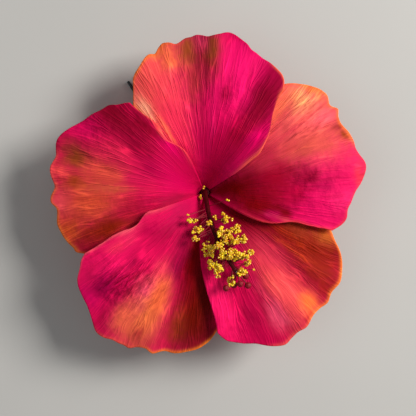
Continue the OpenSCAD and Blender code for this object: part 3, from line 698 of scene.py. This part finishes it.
def closed_sheet(middle, half, *maps, wrap=False):
    """A closed sheet about its middle surface, whose two skins meet at its edges.
    Rows run outwards and columns anticlockwise. Maps hold values for each point."""
    rows, columns = half.shape
    edge = np.zeros((rows, columns), bool)
    edge[0] = edge[-1] = True
    if not wrap:
        edge[:, 0] = edge[:, -1] = True
    upper = np.arange(rows * columns).reshape(rows, columns)
    lower = upper.copy()
    lower[~edge] = rows * columns + np.arange((~edge).sum())
    half = np.where(edge, 0, half)
    lift = np.zeros_like(middle)
    lift[..., 2] = half
    points = np.concatenate([(middle + lift).reshape(-1, 3), (middle - lift)[~edge]])
    last = columns if wrap else columns - 1
    i, j = np.meshgrid(np.arange(rows - 1), np.arange(last), indexing="ij")
    n = (j + 1) % columns
    top = np.stack([upper[i, j], upper[i + 1, j], upper[i + 1, n], upper[i, n]], -1)
    under = np.stack([lower[i, j], lower[i, n], lower[i + 1, n], lower[i + 1, j]], -1)
    faces = np.concatenate([top.reshape(-1, 4), under.reshape(-1, 4)])
    spread = lambda values: np.concatenate([values.reshape(rows * columns, -1), values[~edge]])
    return points, faces.tolist(), *map(spread, maps)


def lay_flow(piece, values):
    """The UV map that a sheet's veins follow: degrees round and reach at each point."""
    mesh = piece.data
    corner = np.empty(len(mesh.loops), int)
    mesh.loops.foreach_get("vertex_index", corner)
    mesh.uv_layers.new(name="flow").data.foreach_set("uv", values[corner].ravel())


# Where the mould was creased aslant, as (degrees, reach, half width in degrees, half length).
CREASED = {"Petal_Lower_Left": [(-124, 38, 13, 8), (-136, 44, 9, 6)],
           "Petal_Right": [(36, 42, 9, 9)]}
# Where the foam is crumpled all ways, given alike.
CRUMPLED = {"Petal_Right": [(2, 40, 16, 12)], "Petal_Lower_Left": [(-124, 36, 10, 7)],
            "Petal_Left": [(150, 44, 9, 8)], "Petal_Top": [(75, 34, 8, 10)],
            "Petal_Lower_Right": [(-26, 36, 9, 10)]}
# Small waves and nicks in each margin, as (degrees, millimetres outwards, half width).
NIBBLES = {
    "Petal_Top": [(129, -1.2, 3.5), (122.5, 0.5, 1.5), (118, -0.5, 2.5), (110, -1.3, 1.5),
                  (106, 0.4, 1.2), (101.5, -1, 1.8), (97, 0.8, 2), (93.5, 0.5, 1.5), (89, -0.8, 2),
                  (84.5, -0.5, 2.5), (72, -0.5, 1.5), (60, -0.8, 3.5)],
    "Petal_Right": [(32, 0.9, 1.5), (18.5, 0.3, 2), (13, -0.3, 2), (3, 0.3, 2), (-7, -0.6, 2.5)],
    "Petal_Lower_Right": [(-23, 0.4, 3), (-34, 0.4, 3), (-42, 0.5, 2), (-58, 0.5, 2), (-62, 0.7, 2),
                          (-80, -0.5, 4)],
    "Petal_Lower_Left": [(-88, 0.9, 2.5), (-101, 0.6, 2.5), (-108, 0.4, 2), (-116, 0.8, 1.5),
                         (-122, -0.6, 2), (-128, 0.4, 2), (-149, -1.6, 3)],
    "Petal_Left": [(205, 1.1, 1.5), (184, 0.7, 1.5), (177, -0.4, 2), (165, -0.7, 2.5),
                   (150, -0.8, 5), (142, -0.8, 4), (134, -1.4, 3.5)],
}
# Where a petal's upper edge is drawn in, or out where the degrees are less than 0, as
# (share of the way out, half length, degrees).
DRAWN_IN = {"Petal_Left": [(0.53, 0.11, 6.5)], "Petal_Right": [(0.68, 0.12, 3)],
            "Petal_Top": [(0.5, 0.08, -2.6), (0.64, 0.08, -2)],
            "Petal_Lower_Left": [(0.56, 0.1, 3), (0.43, 0.06, -2.8)],
            "Petal_Lower_Right": []}


def petal_grid(name, shape, s, t):
    """Angle in degrees, reach and place of a petal's middle surface, as it is cut."""
    heading, base_w, rim_w, margin, folds = shape
    upper = s < 0
    rim = np.where(upper, rim_w, COVERED_RIM)
    base = np.where(upper, base_w, COVERED_BASE)
    degrees = s * (base + (rim - base) * soft_step(0.2, 1, t))
    edge_r = FLOWER_R * curve(margin, s * rim)
    for at, long, turned in DRAWN_IN[name]:
        degrees = degrees + turned * np.exp(-(((t - at) / long) ** 2)) * soft_step(0.6, 1, -s)
    r = THROAT_R + (edge_r - THROAT_R) * t
    lift = sum(h * np.exp(-(((degrees - d) / wd) ** 2) - ((t - t0) / wt) ** 2)
               for d, t0, h, wd, wt in folds)
    ruffle = RUFFLE_H * (0.3 + 0.7 * (1 - s * s) ** 2) * t**4 * np.sin(
        np.radians(24 * degrees + 3 * heading))
    z = cup_z(r) - twist(r) * degrees + lift + ruffle
    angle = degrees + heading
    turned = np.radians(angle)
    return angle, r, THROAT[0] + r * np.cos(turned), THROAT[1] + r * np.sin(turned), z, edge_r


def flow_of(finish):
    """Degrees round and millimetres out, from a sheet's own UV map."""
    flow = finish.node("ShaderNodeUVMap", {"uv_map": "flow"})
    split = lambda way: finish.node("ShaderNodeSeparateXYZ", None, {"Vector": flow}, way)
    return split("X"), split("Y")


foam = Finish("petal_foam", Specular_IOR_Level=0.045)
written = lambda name, out: foam.node("ShaderNodeAttribute", {"attribute_name": name}, out=out)
painted = written("paint", "Color")
creased, crumpled = written("creased", "Fac"), written("crumpled", "Fac")
around, out_from = flow_of(foam)
flat_place = lambda x, y: foam.node("ShaderNodeCombineXYZ", None, {"X": x, "Y": y, "Z": 0.0})


def net(every, long, sway):
    """A vein every so many degrees, in cells this many millimetres long."""
    place = flat_place(around / every + sway, out_from / long)
    settings = {"voronoi_dimensions": "2D", "feature": "DISTANCE_TO_EDGE"}
    sockets = {"Scale": 1.0, "Vector": place}
    cells = foam.node("ShaderNodeTexVoronoi", settings, sockets, "Distance")
    return 1 - cells.between(0.0, 0.14)


def along_veins(per_degree, per_mm, detail):
    """Noise that is drawn out along the veins."""
    place = flat_place(around * (per_degree * MM), out_from * (per_mm * MM))
    return foam.grain(1, detail, at=place)


# The veins are three nets of long cells, a finer one at each step out, so that they
# fork as the petal widens. They fade near the throat, and their depth varies.
sway = foam.grain(0.07, 2) * 1.7 + foam.grain(0.25, 1) * 0.3
near_veins = net(4.4, 26, sway * 0.6) * out_from.between(9, 21) * (1 - out_from.between(26, 40))
mid_veins = net(2.6, 24, sway) * out_from.between(16, 28) * (1 - out_from.between(42, 52) * 0.5)
far_veins = net(1.5, 18, sway * 1.6) * out_from.between(26, 38) * 0.7
depth = along_veins(0.3, 0.05, 2).between(0.36, 0.6)
pressed = foam.grain(0.06, 3).between(0.38, 0.6)
veins = near_veins.high(mid_veins).high(far_veins) * (0.2 + depth * 0.8)
slant = foam.node("ShaderNodeMapping", None, {
    "Vector": foam.place, "Rotation": (0, 0, math.radians(-37))})
crease = foam.grain(0.6, 3, at=slant, stretch=(0.13, 1, 1))
speckle = foam.grain(1.3, 4)
streaks = along_veins(0.47, 0.1, 3)
# The vein lines are painted lighter, as highlights on their ridges, and each crease gets a painted
# highlight on one flank and painted shade on the other. The streaks darken the paint at random along
# the veins.
SHADED, LIGHTER = "#8a0630", (1.9, 2.6, 1.8, 1.0)
tinted = foam.mixed(streaks.between(0.48, 0.7) * 0.2, painted, SHADED, "MULTIPLY")
lit_lines = (veins * (0.15 + pressed * 0.6)).high(crease.between(0.52, 0.62) * creased * 0.3)
tinted = foam.mixed((1 - crease).between(0.5, 0.62) * creased * 0.35, tinted, SHADED, "MULTIPLY")
tinted = foam.mixed(lit_lines, tinted, LIGHTER, "MULTIPLY")
tinted = foam.mixed(speckle.between(0.55, 0.8) * 0.12, tinted, "#a00a38")
foam.feed(Base_Color=tinted, Roughness=0.55 + speckle * 0.14 - veins * 0.06)
crumple = foam.grain(0.36, 4) * foam.grain(0.05, 2).between(0.42, 0.62).high(crumpled * 1.6)
foam.relief(veins * (0.17 - creased * 0.1) + crease * creased * 1.8 + streaks * 0.05 + crumple * 0.5
            + foam.grain(4, 2) * 0.012)


def pigment(code):
    """The light values of a #rrggbb code, as an array for sums."""
    return np.array(dye(code)[:3])


def petal(name, shape):
    """Cuts, presses and paints one petal."""
    base_colour, passes = DYE_AND_PAINTED_LIGHT[name]
    fine = [0, 0.0012, 0.004, 0.0075, 0.012]
    across = np.concatenate([[-1 + f for f in fine], np.linspace(-0.975, 0.975, 150),
                             [1 - f for f in fine[::-1]]])
    out = np.concatenate([np.linspace(0, 0.975, 116), [1 - f for f in fine[::-1]]])
    t, s = np.meshgrid(out, across, indexing="ij")
    angle, r, x, y, z, edge_r = petal_grid(name, shape, s, t)
    flat_x, flat_y = x - THROAT[0], y - THROAT[1]
    for degrees, reach, heading, long, wide, high in WRINKLES[name]:
        dx = flat_x - reach * math.cos(math.radians(degrees))
        dy = flat_y - reach * math.sin(math.radians(degrees))
        c, k = math.cos(math.radians(heading)), math.sin(math.radians(heading))
        along, aside = dx * c + dy * k, dy * c - dx * k + 0.12 * np.sin(dx * 0.9)
        z = z + high * np.exp(-((along / long) ** 2) - (aside / wide) ** 2)
    seed = len(name) + shape[0] * 0.01
    # The margin is nibbled in small waves where the mould cut it.
    nibble = waves(angle, angle * 0 + seed, 4.2, seed + 20) * 0.15
    nibble = nibble + sum(far * np.exp(-(((angle - at) / wide) ** 2))
                          for at, far, wide in NIBBLES[name])
    push = nibble * t**6 * np.minimum(1, (1 - np.abs(s)) * 8)
    x, y = x + push * np.cos(np.radians(angle)), y + push * np.sin(np.radians(angle))
    buckle = waves(flat_x, flat_y, 11, seed) * 0.35 * soft_step(14, 40, r)
    z = z + buckle * np.minimum(1, (1 - np.abs(s)) * 6 + 0.25)
    # The foam's cut edges are round, and thin a little towards the margin.
    side_gap = (1 - np.abs(s)) * np.radians(45) * np.maximum(r, 6)
    rim_gap = (1 - t) * (edge_r - THROAT_R)
    gap = np.minimum(side_gap, rim_gap)
    round_off = np.sqrt(np.clip(1 - (1 - np.minimum(gap / 0.5, 1)) ** 2, 0, 1))
    half = PETAL_THICK / 2 * round_off * (1 - 0.25 * soft_step(0.8, 1, t))

    drift = waves(flat_x, flat_y, 7, seed + 3)
    fine_drift = waves(flat_x, flat_y, 2.6, seed + 8)
    mist = waves(flat_x, flat_y, 1.1, seed + 5)
    soft_angle = angle + (drift * 1.6 + fine_drift * 0.8) * 22 / np.maximum(r, 10)
    soft_r = r + waves(flat_x, flat_y, 8, seed + 12) * 1.6 + fine_drift * 0.9
    colour = np.empty(s.shape + (3,))
    colour[:] = pigment(base_colour)
    for degrees, reach, wide, long, code, strength in passes:
        turn = (soft_angle - degrees + 180) % 360 - 180
        cover = strength * np.exp(-np.abs(turn / wide) ** 2.4
                                  - np.abs((soft_r - reach) / long) ** 2.4)
        cover = np.clip(cover * (1 + 0.35 * mist * (1 - cover)), 0, 1)[..., None]
        colour = colour * (1 - cover) + pigment(code) * cover
    for low, high, code, strength in RIM_PAINT[name]:
        within = soft_step(low - 3, low + 3, angle) * (1 - soft_step(high - 3, high + 3, angle))
        rim = strength * within * np.exp(-((gap / (0.85 + 0.3 * drift)) ** 2)) * soft_step(8, 22, r)
        colour = colour * (1 - rim[..., None]) + pigment(code) * rim[..., None]
    pressed_in = [sum((np.exp(-(((angle - at) / wide) ** 4) - ((r - reach) / long) ** 4)
                       for at, reach, wide, long in places.get(name, ())), s * 0)
                  for places in (CREASED, CRUMPLED)]
    paint = np.concatenate([colour, np.ones(s.shape + (1,)), np.stack(pressed_in, -1)], -1)
    flow_map = np.stack([angle - shape[0], r], -1)
    points, faces, paint, flow_map = closed_sheet(np.stack([x, y, z], -1), half, paint, flow_map)
    # The underside keeps under half of the face's colours, painted shade and painted
    # highlights included, mixed with an even coral.
    under = np.arange(len(points)) >= s.size
    paint[under, :3] = paint[under, :3] * 0.45 + pigment("#ee4a50") * 0.55

    piece = in_place(name, points, faces)
    mesh = piece.data
    layer = mesh.color_attributes.new("paint", "FLOAT_COLOR", "POINT")
    layer.data.foreach_set("color", paint[:, :4].ravel())
    for k, label in ((4, "creased"), (5, "crumpled")):
        mesh.attributes.new(label, "FLOAT", "POINT").data.foreach_set("value", paint[:, k].copy())
    lay_flow(piece, flow_map)
    fit(piece, foam, name.lower())


for name, shape in (("Petal_Top", TOP), ("Petal_Right", RIGHT), ("Petal_Lower_Right", LOWER_RIGHT),
                    ("Petal_Lower_Left", LOWER_LEFT), ("Petal_Left", LEFT)):
    petal(name, shape)


# ---- The calyx --------------------------------------------------------------
# A moulded green cup of five sepals under the petals, with a flat foot that is
# glued to the felt. Fine ribs run out to each sepal's tip.
SEPAL_R, CALYX_FOOT_R, CALYX_WALL, CALYX_Z = 15.0, 5.0, 0.8, 7.6
sepal_green = Finish("calyx_green", Roughness=0.5, Subsurface_Weight=0.08,
                     Subsurface_Radius=(0.4, 1.0, 0.2), Subsurface_Scale=0.002)
leaf_around, leaf_out = flow_of(sepal_green)
ribs = (leaf_around / 6 + sepal_green.grain(0.3, 2) * 0.5).ridge() ** 5.0
mottle = sepal_green.grain(0.5, 5)
leaf = sepal_green.mixed(mottle, "#3f6a26", "#6f9a44")
leaf = sepal_green.mixed(ribs * 0.4, leaf, "#8fb35a")
leaf = sepal_green.mixed(leaf_out.between(10, 15.5) * 0.55, leaf, "#7a3a2a")
sepal_green.feed(Base_Color=leaf)
sepal_green.relief(ribs * 0.12 + mottle * 0.06)


def sepal_reach(angle):
    """How far the calyx reaches: far at its five sepals and short between them."""
    cleft = 0.5 * SEPAL_R
    return cleft + (SEPAL_R - cleft) * np.abs(np.cos(2.5 * (angle - CLIP_ANGLE))) ** 1.3


turn = np.linspace(0, 2 * math.pi, 160, endpoint=False)
share = np.concatenate([np.linspace(0, 0.9, 22), [0.94, 0.97, 0.99, 1.0]])
calyx_share, calyx_turn = np.meshgrid(share, turn, indexing="ij")
calyx_r = 1.2 + (sepal_reach(calyx_turn) - 1.2) * calyx_share
under_petals = lambda r: cup_z(r) - twist(r) * COVERED_BASE - PETAL_THICK / 2 - 0.1
calyx_upper = np.where(calyx_r < THROAT_R, CALYX_FLOOR_Z, np.minimum(
    under_petals(np.maximum(calyx_r, THROAT_R)),
    CALYX_FLOOR_Z + (calyx_r - THROAT_R) * 3))
foot = 1 - soft_step(CALYX_FOOT_R - 0.25, CALYX_FOOT_R + 0.25, calyx_r)
calyx_lower = np.maximum(CALYX_Z + CALYX_WALL * (1 - foot), calyx_upper - 1.6 * CALYX_WALL)
calyx_lower = np.where(foot > 0.98, CALYX_Z, calyx_lower)
tip_thin = np.sqrt(np.clip(1 - (1 - np.minimum((1 - calyx_share) * 12, 1)) ** 2, 0, 1))
calyx_middle = np.stack([THROAT[0] + calyx_r * np.cos(calyx_turn),
                         THROAT[1] + calyx_r * np.sin(calyx_turn),
                         (calyx_upper + calyx_lower) / 2], -1)
calyx_half = (calyx_upper - calyx_lower) / 2 * tip_thin
calyx_flow = np.stack([np.degrees(calyx_turn - CLIP_ANGLE), calyx_r], -1)
points, faces, calyx_flow = closed_sheet(calyx_middle, calyx_half, calyx_flow, wrap=True)
# The middle of the cup is closed by the receptacle's seat.
calyx = in_place("Calyx", points, faces + [list(range(len(turn)))])
lay_flow(calyx, calyx_flow)
outward(calyx)
fit(calyx, sepal_green, "calyx")


# ---- The glue collar --------------------------------------------------------
# A ring of hot-melt glue run round the calyx's foot, where it meets the felt.
collar_profile = [(1.0, 0.0), (1.36, 0.0), (1.4, 0.08), (1.37, 0.3), (1.28, 0.5), (1.15, 0.66),
                  (1.02, 0.72), (1.0, 0.7)]


def collar_edge(angle):
    """The ring of glue, a little lumpy where it was run."""
    swell = CALYX_FOOT_R + 0.05 + 0.08 * math.sin(4 * angle) ** 2
    return swell * math.cos(angle), swell * math.sin(angle)


collar_points, collar_faces = turned_shape(collar_profile, collar_edge, closed=False)
collar = in_place("Glue_Collar", collar_points + [*THROAT, CALYX_Z], collar_faces)
outward(collar)
fit(collar, hot_melt, "glue_collar")


# ---- The receptacle ---------------------------------------------------------
# The dark red plug in the throat that the petals' bases are glued round. It is
# bored through for the column's wire.
PLUG_EDGE = 0.3
core = Finish("core_red", Roughness=0.7, Specular_IOR_Level=0.2)
core_grain = core.grain(0.8, 5)
core.feed(Base_Color=core.mixed(core_grain, "#2c0003", "#5c040f"))
core.relief(core_grain * 0.15)
fit(rounded_copy("receptacle", PLUG_EDGE), core, "receptacle")


# ---- The staminal column and its wire ---------------------------------------
# A tapering tube of soft dark red plastic, pushed over a steel wire that goes
# down through the receptacle. The wire was bent by hand over the lower petals.
COLUMN = [(0.5, -3.4, 4.4), (1.5, -8.4, 3.8), (3.3, -14, 3.7), (5.9, -19.4, 4.1),
          (8.6, -24, 5.2), (10.8, -27.4, 6.6)]
COLUMN_FOOT_R, COLUMN_TIP_R = 0.98, 0.74
RECEPTACLE_TOP = THROAT_Z + 1.6


def route(points, steps):
    """A smooth route through points."""
    p = [np.array(q, float) for q in points]
    made = []
    for i in range(len(p) - 1):
        a, b, c, d = p[max(0, i - 1)], p[i], p[i + 1], p[min(len(p) - 1, i + 2)]
        for k in range(steps):
            u = k / steps
            made.append(b + (c - a) * u / 2 + (2 * a - 5 * b + 4 * c - d) * u * u / 2
                        + (3 * b - a - 3 * c + d) * u**3 / 2)
    return np.array(made + [p[-1]])


bends = [(*THROAT, RECEPTACLE_TOP + 0.6), (*THROAT, RECEPTACLE_TOP + 1.6)] + [
    (THROAT[0] + x, THROAT[1] + y, float(cup_z(np.hypot(x, y))) + up) for x, y, up in COLUMN]
column_line = np.concatenate([[(*THROAT, RECEPTACLE_TOP + 0.05)], route(bends, 8)])
column_share = np.linspace(0, 1, len(column_line))
column_r = COLUMN_FOOT_R - (COLUMN_FOOT_R - COLUMN_TIP_R) * column_share**0.6
column_r = column_r * (1 + 0.03 * np.sin(column_share * 40))

tube_red = Finish("column_red", Roughness=0.5, Specular_IOR_Level=0.15, Subsurface_Weight=0.1,
                  Subsurface_Radius=(1.0, 0.2, 0.1), Subsurface_Scale=0.001)
tube_grain = tube_red.grain(0.7, 4)
tube_red.feed(Base_Color=tube_red.mixed(tube_grain, "#2c0002", "#58000a"))
tube_red.relief(tube_grain * 0.12 + tube_red.grain(3, 2) * 0.02)
tip_line, tip_radii = rounded_ends(column_line, column_r)
column = wire("Staminal_Tube", [np.concatenate([column_line[:4], tip_line[7:]])],
              [np.concatenate([column_r[:4], tip_radii[7:]])], 28, tube_red)
fit(column, tube_red, "staminal_tube")
steel.put_on(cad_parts["column_wire"])


# ---- The stamens ------------------------------------------------------------
# Short crimson filaments set in the column, each with a head of yellow beads.
# The beads are dipped in glue and pollen-coloured flock, so they cling in lumps.
GRAIN_R, FILAMENT_R, SEED = 0.41, 0.13, 7
# Where the heads gather, from the throat, as (x, y, spread across, spread along,
# height over the petals, number of heads).
HEADS = [
    (7.5, -3.0, 0.5, 0.3, 2.2, 1), (6.9, -9.0, 0.9, 1.7, 3.4, 6), (9.0, -9.3, 0.4, 0.4, 2.8, 1),
    (3.9, -9.0, 0.4, 0.8, 3.4, 2), (11.3, -12.9, 0.8, 1.4, 3.6, 6), (5.3, -13.4, 0.9, 1.6, 5.4, 7),
    (8.2, -15.0, 1.3, 2.2, 7.0, 14), (12.2, -16.2, 1.6, 0.9, 4.6, 7), (9.8, -17.6, 1.4, 0.9, 6.4, 7),
    (4.9, -17.9, 1.2, 0.8, 7.4, 7), (7.2, -21.2, 2.0, 1.3, 7.6, 14), (12.2, -21.6, 2.2, 1.6, 5.0, 15),
    (15.4, -19.6, 0.7, 1.3, 3.4, 4), (14.2, -24.2, 0.7, 0.8, 3.4, 3), (12.8, -27.0, 1.1, 1.3, 3.6, 8),
    (16.5, -26.4, 0.3, 0.4, 3.0, 1), (-5.8, -8.0, 0.2, 0.2, 2.2, 1), (-4.4, -10.0, 1.2, 0.7, 2.4, 5),
    (-2.4, -13.3, 1.2, 1.0, 2.6, 7), (-3.0, -16.1, 0.9, 0.5, 2.2, 4), (1.5, -11.0, 0.4, 0.9, 4.6, 3),
    (0.5, -17.1, 0.2, 0.2, 2.6, 1), (1.3, -20.4, 1.6, 2.0, 2.0, 14), (2.6, -24.8, 1.3, 1.2, 2.6, 7),
    (4.6, -26.6, 1.2, 2.0, 2.6, 10), (8.8, -29.6, 0.6, 2.2, 3.4, 8), (-0.3, 2.0, 0.1, 0.1, 0.9, 1),
    (-1.3, -1.2, 0.3, 0.6, 0.9, 2)]


def over_petals(r):
    """The height over the petals that the pollen stays above."""
    return cup_z(r) + twist(r) * 50 + PETAL_THICK / 2 + 0.9


rng = np.random.default_rng(SEED)
filament_paths, grains = [], []
for x, y, wide, long, up, count in HEADS:
    for _ in range(count):
        px, py = x + wide * rng.uniform(-1, 1), y + long * rng.uniform(-1, 1)
        r = math.hypot(px, py)
        head = np.array([THROAT[0] + px, THROAT[1] + py,
                         over_petals(r) + GRAIN_R + 0.3 + up * rng.uniform(0.1, 1)])
        far = np.linalg.norm(column_line[6:] - head, axis=1)
        at = 6 + max(0, int(np.argmin(far)) - int(rng.uniform(1, 6)))
        root = column_line[at]
        start = root + (head - root) / np.linalg.norm(head - root) * (column_r[at] - 0.12)
        middle = (start + head) / 2 + [0, 0, 0.35]
        filament_paths.append(np.array([start, middle, head]))
        for k in range(2 if count < 3 else int(rng.integers(5, 10))):
            around = rng.normal(size=3)
            around[2] *= 0.7
            step_out = around / np.linalg.norm(around) * GRAIN_R * (0 if k == 0 else 1.75)
            grains.append(head + step_out)

filament_pink = Finish("filament_pink", Roughness=0.5, Specular_IOR_Level=0.25)
filament_grain = filament_pink.grain(1.0, 2)
filament_pink.feed(Base_Color=filament_pink.mixed(filament_grain, "#6a0216", "#9c1a2c"))
filaments = wire("Filaments", filament_paths, [[FILAMENT_R] * 3 for _ in filament_paths], 7,
                 filament_pink)
fit(filaments, filament_pink, "filaments")

pollen = Finish("pollen_yellow", Roughness=0.25, Subsurface_Weight=0.3,
                Subsurface_Radius=(1.0, 0.8, 0.1), Subsurface_Scale=0.001,
                Specular_IOR_Level=0.7)
dusting = pollen.grain(0.75, 2).between(0.32, 0.68)
flock_and_glints = pollen.grain(3.2, 3)
dusted = pollen.mixed(dusting, "#e49a00", "#ffde12")
# The palest spots, put where the flock's noise is high, are painted highlights.
pollen.feed(Base_Color=pollen.mixed(flock_and_glints.between(0.55, 0.8) * 0.6, dusted, "#fffaa8"))
pollen.relief(flock_and_glints * 0.12)

bead_tree, bead_in, bead_out = new_tree(
    "Pollen beads", Bead_radius="Float", Smallest="Float", Largest="Float", Seed="Int",
    Finish="Material")
ball = step(bead_tree, "GeometryNodeMeshUVSphere", Segments=8, Rings=6,
            Radius=bead_in.outputs["Bead radius"])
swell = step(bead_tree, "FunctionNodeRandomValue", {"data_type": "FLOAT"})
for label, source in (("Min", "Smallest"), ("Max", "Largest"), ("Seed", "Seed")):
    socket = [s for s in swell.inputs if s.name == label and s.enabled][0]
    bead_tree.links.new(bead_in.outputs[source], socket)
swell_out = [s for s in swell.outputs if s.enabled][0]
tumble = step(bead_tree, "FunctionNodeRandomValue", {"data_type": "FLOAT_VECTOR"},
              Seed=bead_in.outputs["Seed"])
tumble.inputs["Max"].default_value = (6.28, 6.28, 6.28)
stuck = step(bead_tree, "GeometryNodeInstanceOnPoints", Points=bead_in.outputs["Geometry"],
             Instance=ball.outputs["Mesh"], Scale=swell_out, Rotation=tumble.outputs[0])
last_steps(bead_tree, stuck, bead_in, bead_out)
beads = in_place("Pollen_Beads", grains, [])
run_tree(beads, bead_tree, {"Bead radius": GRAIN_R * MM, "Smallest": 0.75, "Largest": 1.12,
                            "Seed": SEED, "Finish": pollen.material})
fit(beads, pollen, "pollen")


# ---- The styles and stigma pads ---------------------------------------------
# Five thin dark styles fork from the column's tip. Each ends in a round pad of
# dark red velvet flock.
STIGMAS = [(-56, 4, 6.4), (-34, -14, 4.6), (-5, 6, 4.0), (19, 2, 5.8), (45, -20, 3.6)]
STIGMA_R, STYLE_R = 1.15, 0.28
velvet = Finish("stigma_dark", Roughness=0.5, Specular_IOR_Level=0.3, Sheen_Weight=0.08,
                Sheen_Tint=dye("#d04050"))
pile = velvet.grain(2.2, 4)
velvet.feed(Base_Color=velvet.mixed(pile, "#5c000c", "#a2061e"))
velvet.relief(pile * 0.25)

style_paths, pad_points, pad_faces = [], [], []
tip = column_line[-1]
for aside, up, long in STIGMAS:
    heading, rise = math.radians(-68 + aside), math.radians(up)
    way = np.array([math.cos(heading) * math.cos(rise), math.sin(heading) * math.cos(rise),
                    math.sin(rise)])
    pad = tip + way * long
    bow = np.array([0, 0, 0.35])
    style_paths.append(np.array([tip + way * 0.3, tip + way * long * 0.35 + bow,
                                 tip + way * long * 0.7 + bow * 0.8, pad]))
    ball_shape = bmesh.new()
    bmesh.ops.create_icosphere(ball_shape, subdivisions=4, radius=1.0)
    first = len(pad_points)
    for v in ball_shape.verts:
        bump = 1 + 0.07 * noise.noise(v.co * 3.1 + Vector(pad)) + 0.03 * noise.noise(v.co * 8)
        squash = np.array([1, 1, 0.88])
        pad_points.append(pad + np.array(v.co) * squash * STIGMA_R * bump)
    pad_faces += [[first + v.index for v in f.verts] for f in ball_shape.faces]
    ball_shape.free()
styles = wire("Styles", style_paths, [[STYLE_R] * 4 for _ in style_paths], 12, velvet)
fit(styles, velvet, "styles")
pads = in_place("Stigma_Pads", pad_points, pad_faces)
fit(pads, velvet, "stigma_pads")


# ---- The table and the studio light -----------------------------------------
# A plain pale table under the clip, one large soft lamp to the right and a weak
# one to the left, and the camera straight above.
table_paint = Finish("Table_Paint", Roughness=0.85)
table_tone = table_paint.grain(0.01, 2)
table_paint.feed(Base_Color=table_paint.mixed(table_tone, "#bab8b3", "#c4c2bd"))
table = in_place("Table", [(-3000, -3000, 0), (3000, -3000, 0), (3000, 3000, 0), (-3000, 3000, 0)],
                 [(0, 1, 2, 3)], smooth=False)
table_paint.put_on(table)


def lamp(name, azimuth, height, away, size, power, tint):
    """A square soft lamp, aimed at the flower, at these degrees round and up."""
    light = bpy.data.lights.new(name, "AREA")
    light.size, light.energy, light.color = size, power, tint
    holder = bpy.data.objects.new(name, light)
    bpy.context.scene.collection.objects.link(holder)
    a, e = math.radians(azimuth), math.radians(height)
    way = Vector((math.cos(a) * math.cos(e), math.sin(a) * math.cos(e), math.sin(e)))
    holder.location = way * away + Vector((0, 0, 0.018))
    holder.rotation_euler = way.to_track_quat("Z", "Y").to_euler()


lamp("Window_Lamp", 22, 38, 0.9, 0.36, 10.2, (1.0, 0.98, 0.96))
lamp("Fill_Lamp", 190, 55, 1.2, 0.9, 1.6, (0.95, 0.97, 1.0))

world = bpy.data.worlds.new("Studio")
world.use_nodes = True
world.node_tree.nodes["Background"].inputs["Color"].default_value = (0.93, 0.96, 1.0, 1)
world.node_tree.nodes["Background"].inputs["Strength"].default_value = 0.22
bpy.context.scene.world = world
bpy.context.scene.view_settings.view_transform = "Standard"

# The eye is over the flower's face, at this height over its plane, and the picture
# takes in this width of that plane.
EYE_AWAY, FACE_Z, PICTURE_WIDE, SENSOR = 300, 20, 145.6, 36.0
camera = bpy.data.cameras.new("Camera")
camera.sensor_width = SENSOR
camera.lens = SENSOR * EYE_AWAY / PICTURE_WIDE
camera.clip_start = 0.01
eye = bpy.data.objects.new("Camera", camera)
bpy.context.scene.collection.objects.link(eye)
eye.location = (-0.13 * MM, -5.43 * MM, (EYE_AWAY + FACE_Z) * MM)
bpy.context.scene.camera = eye
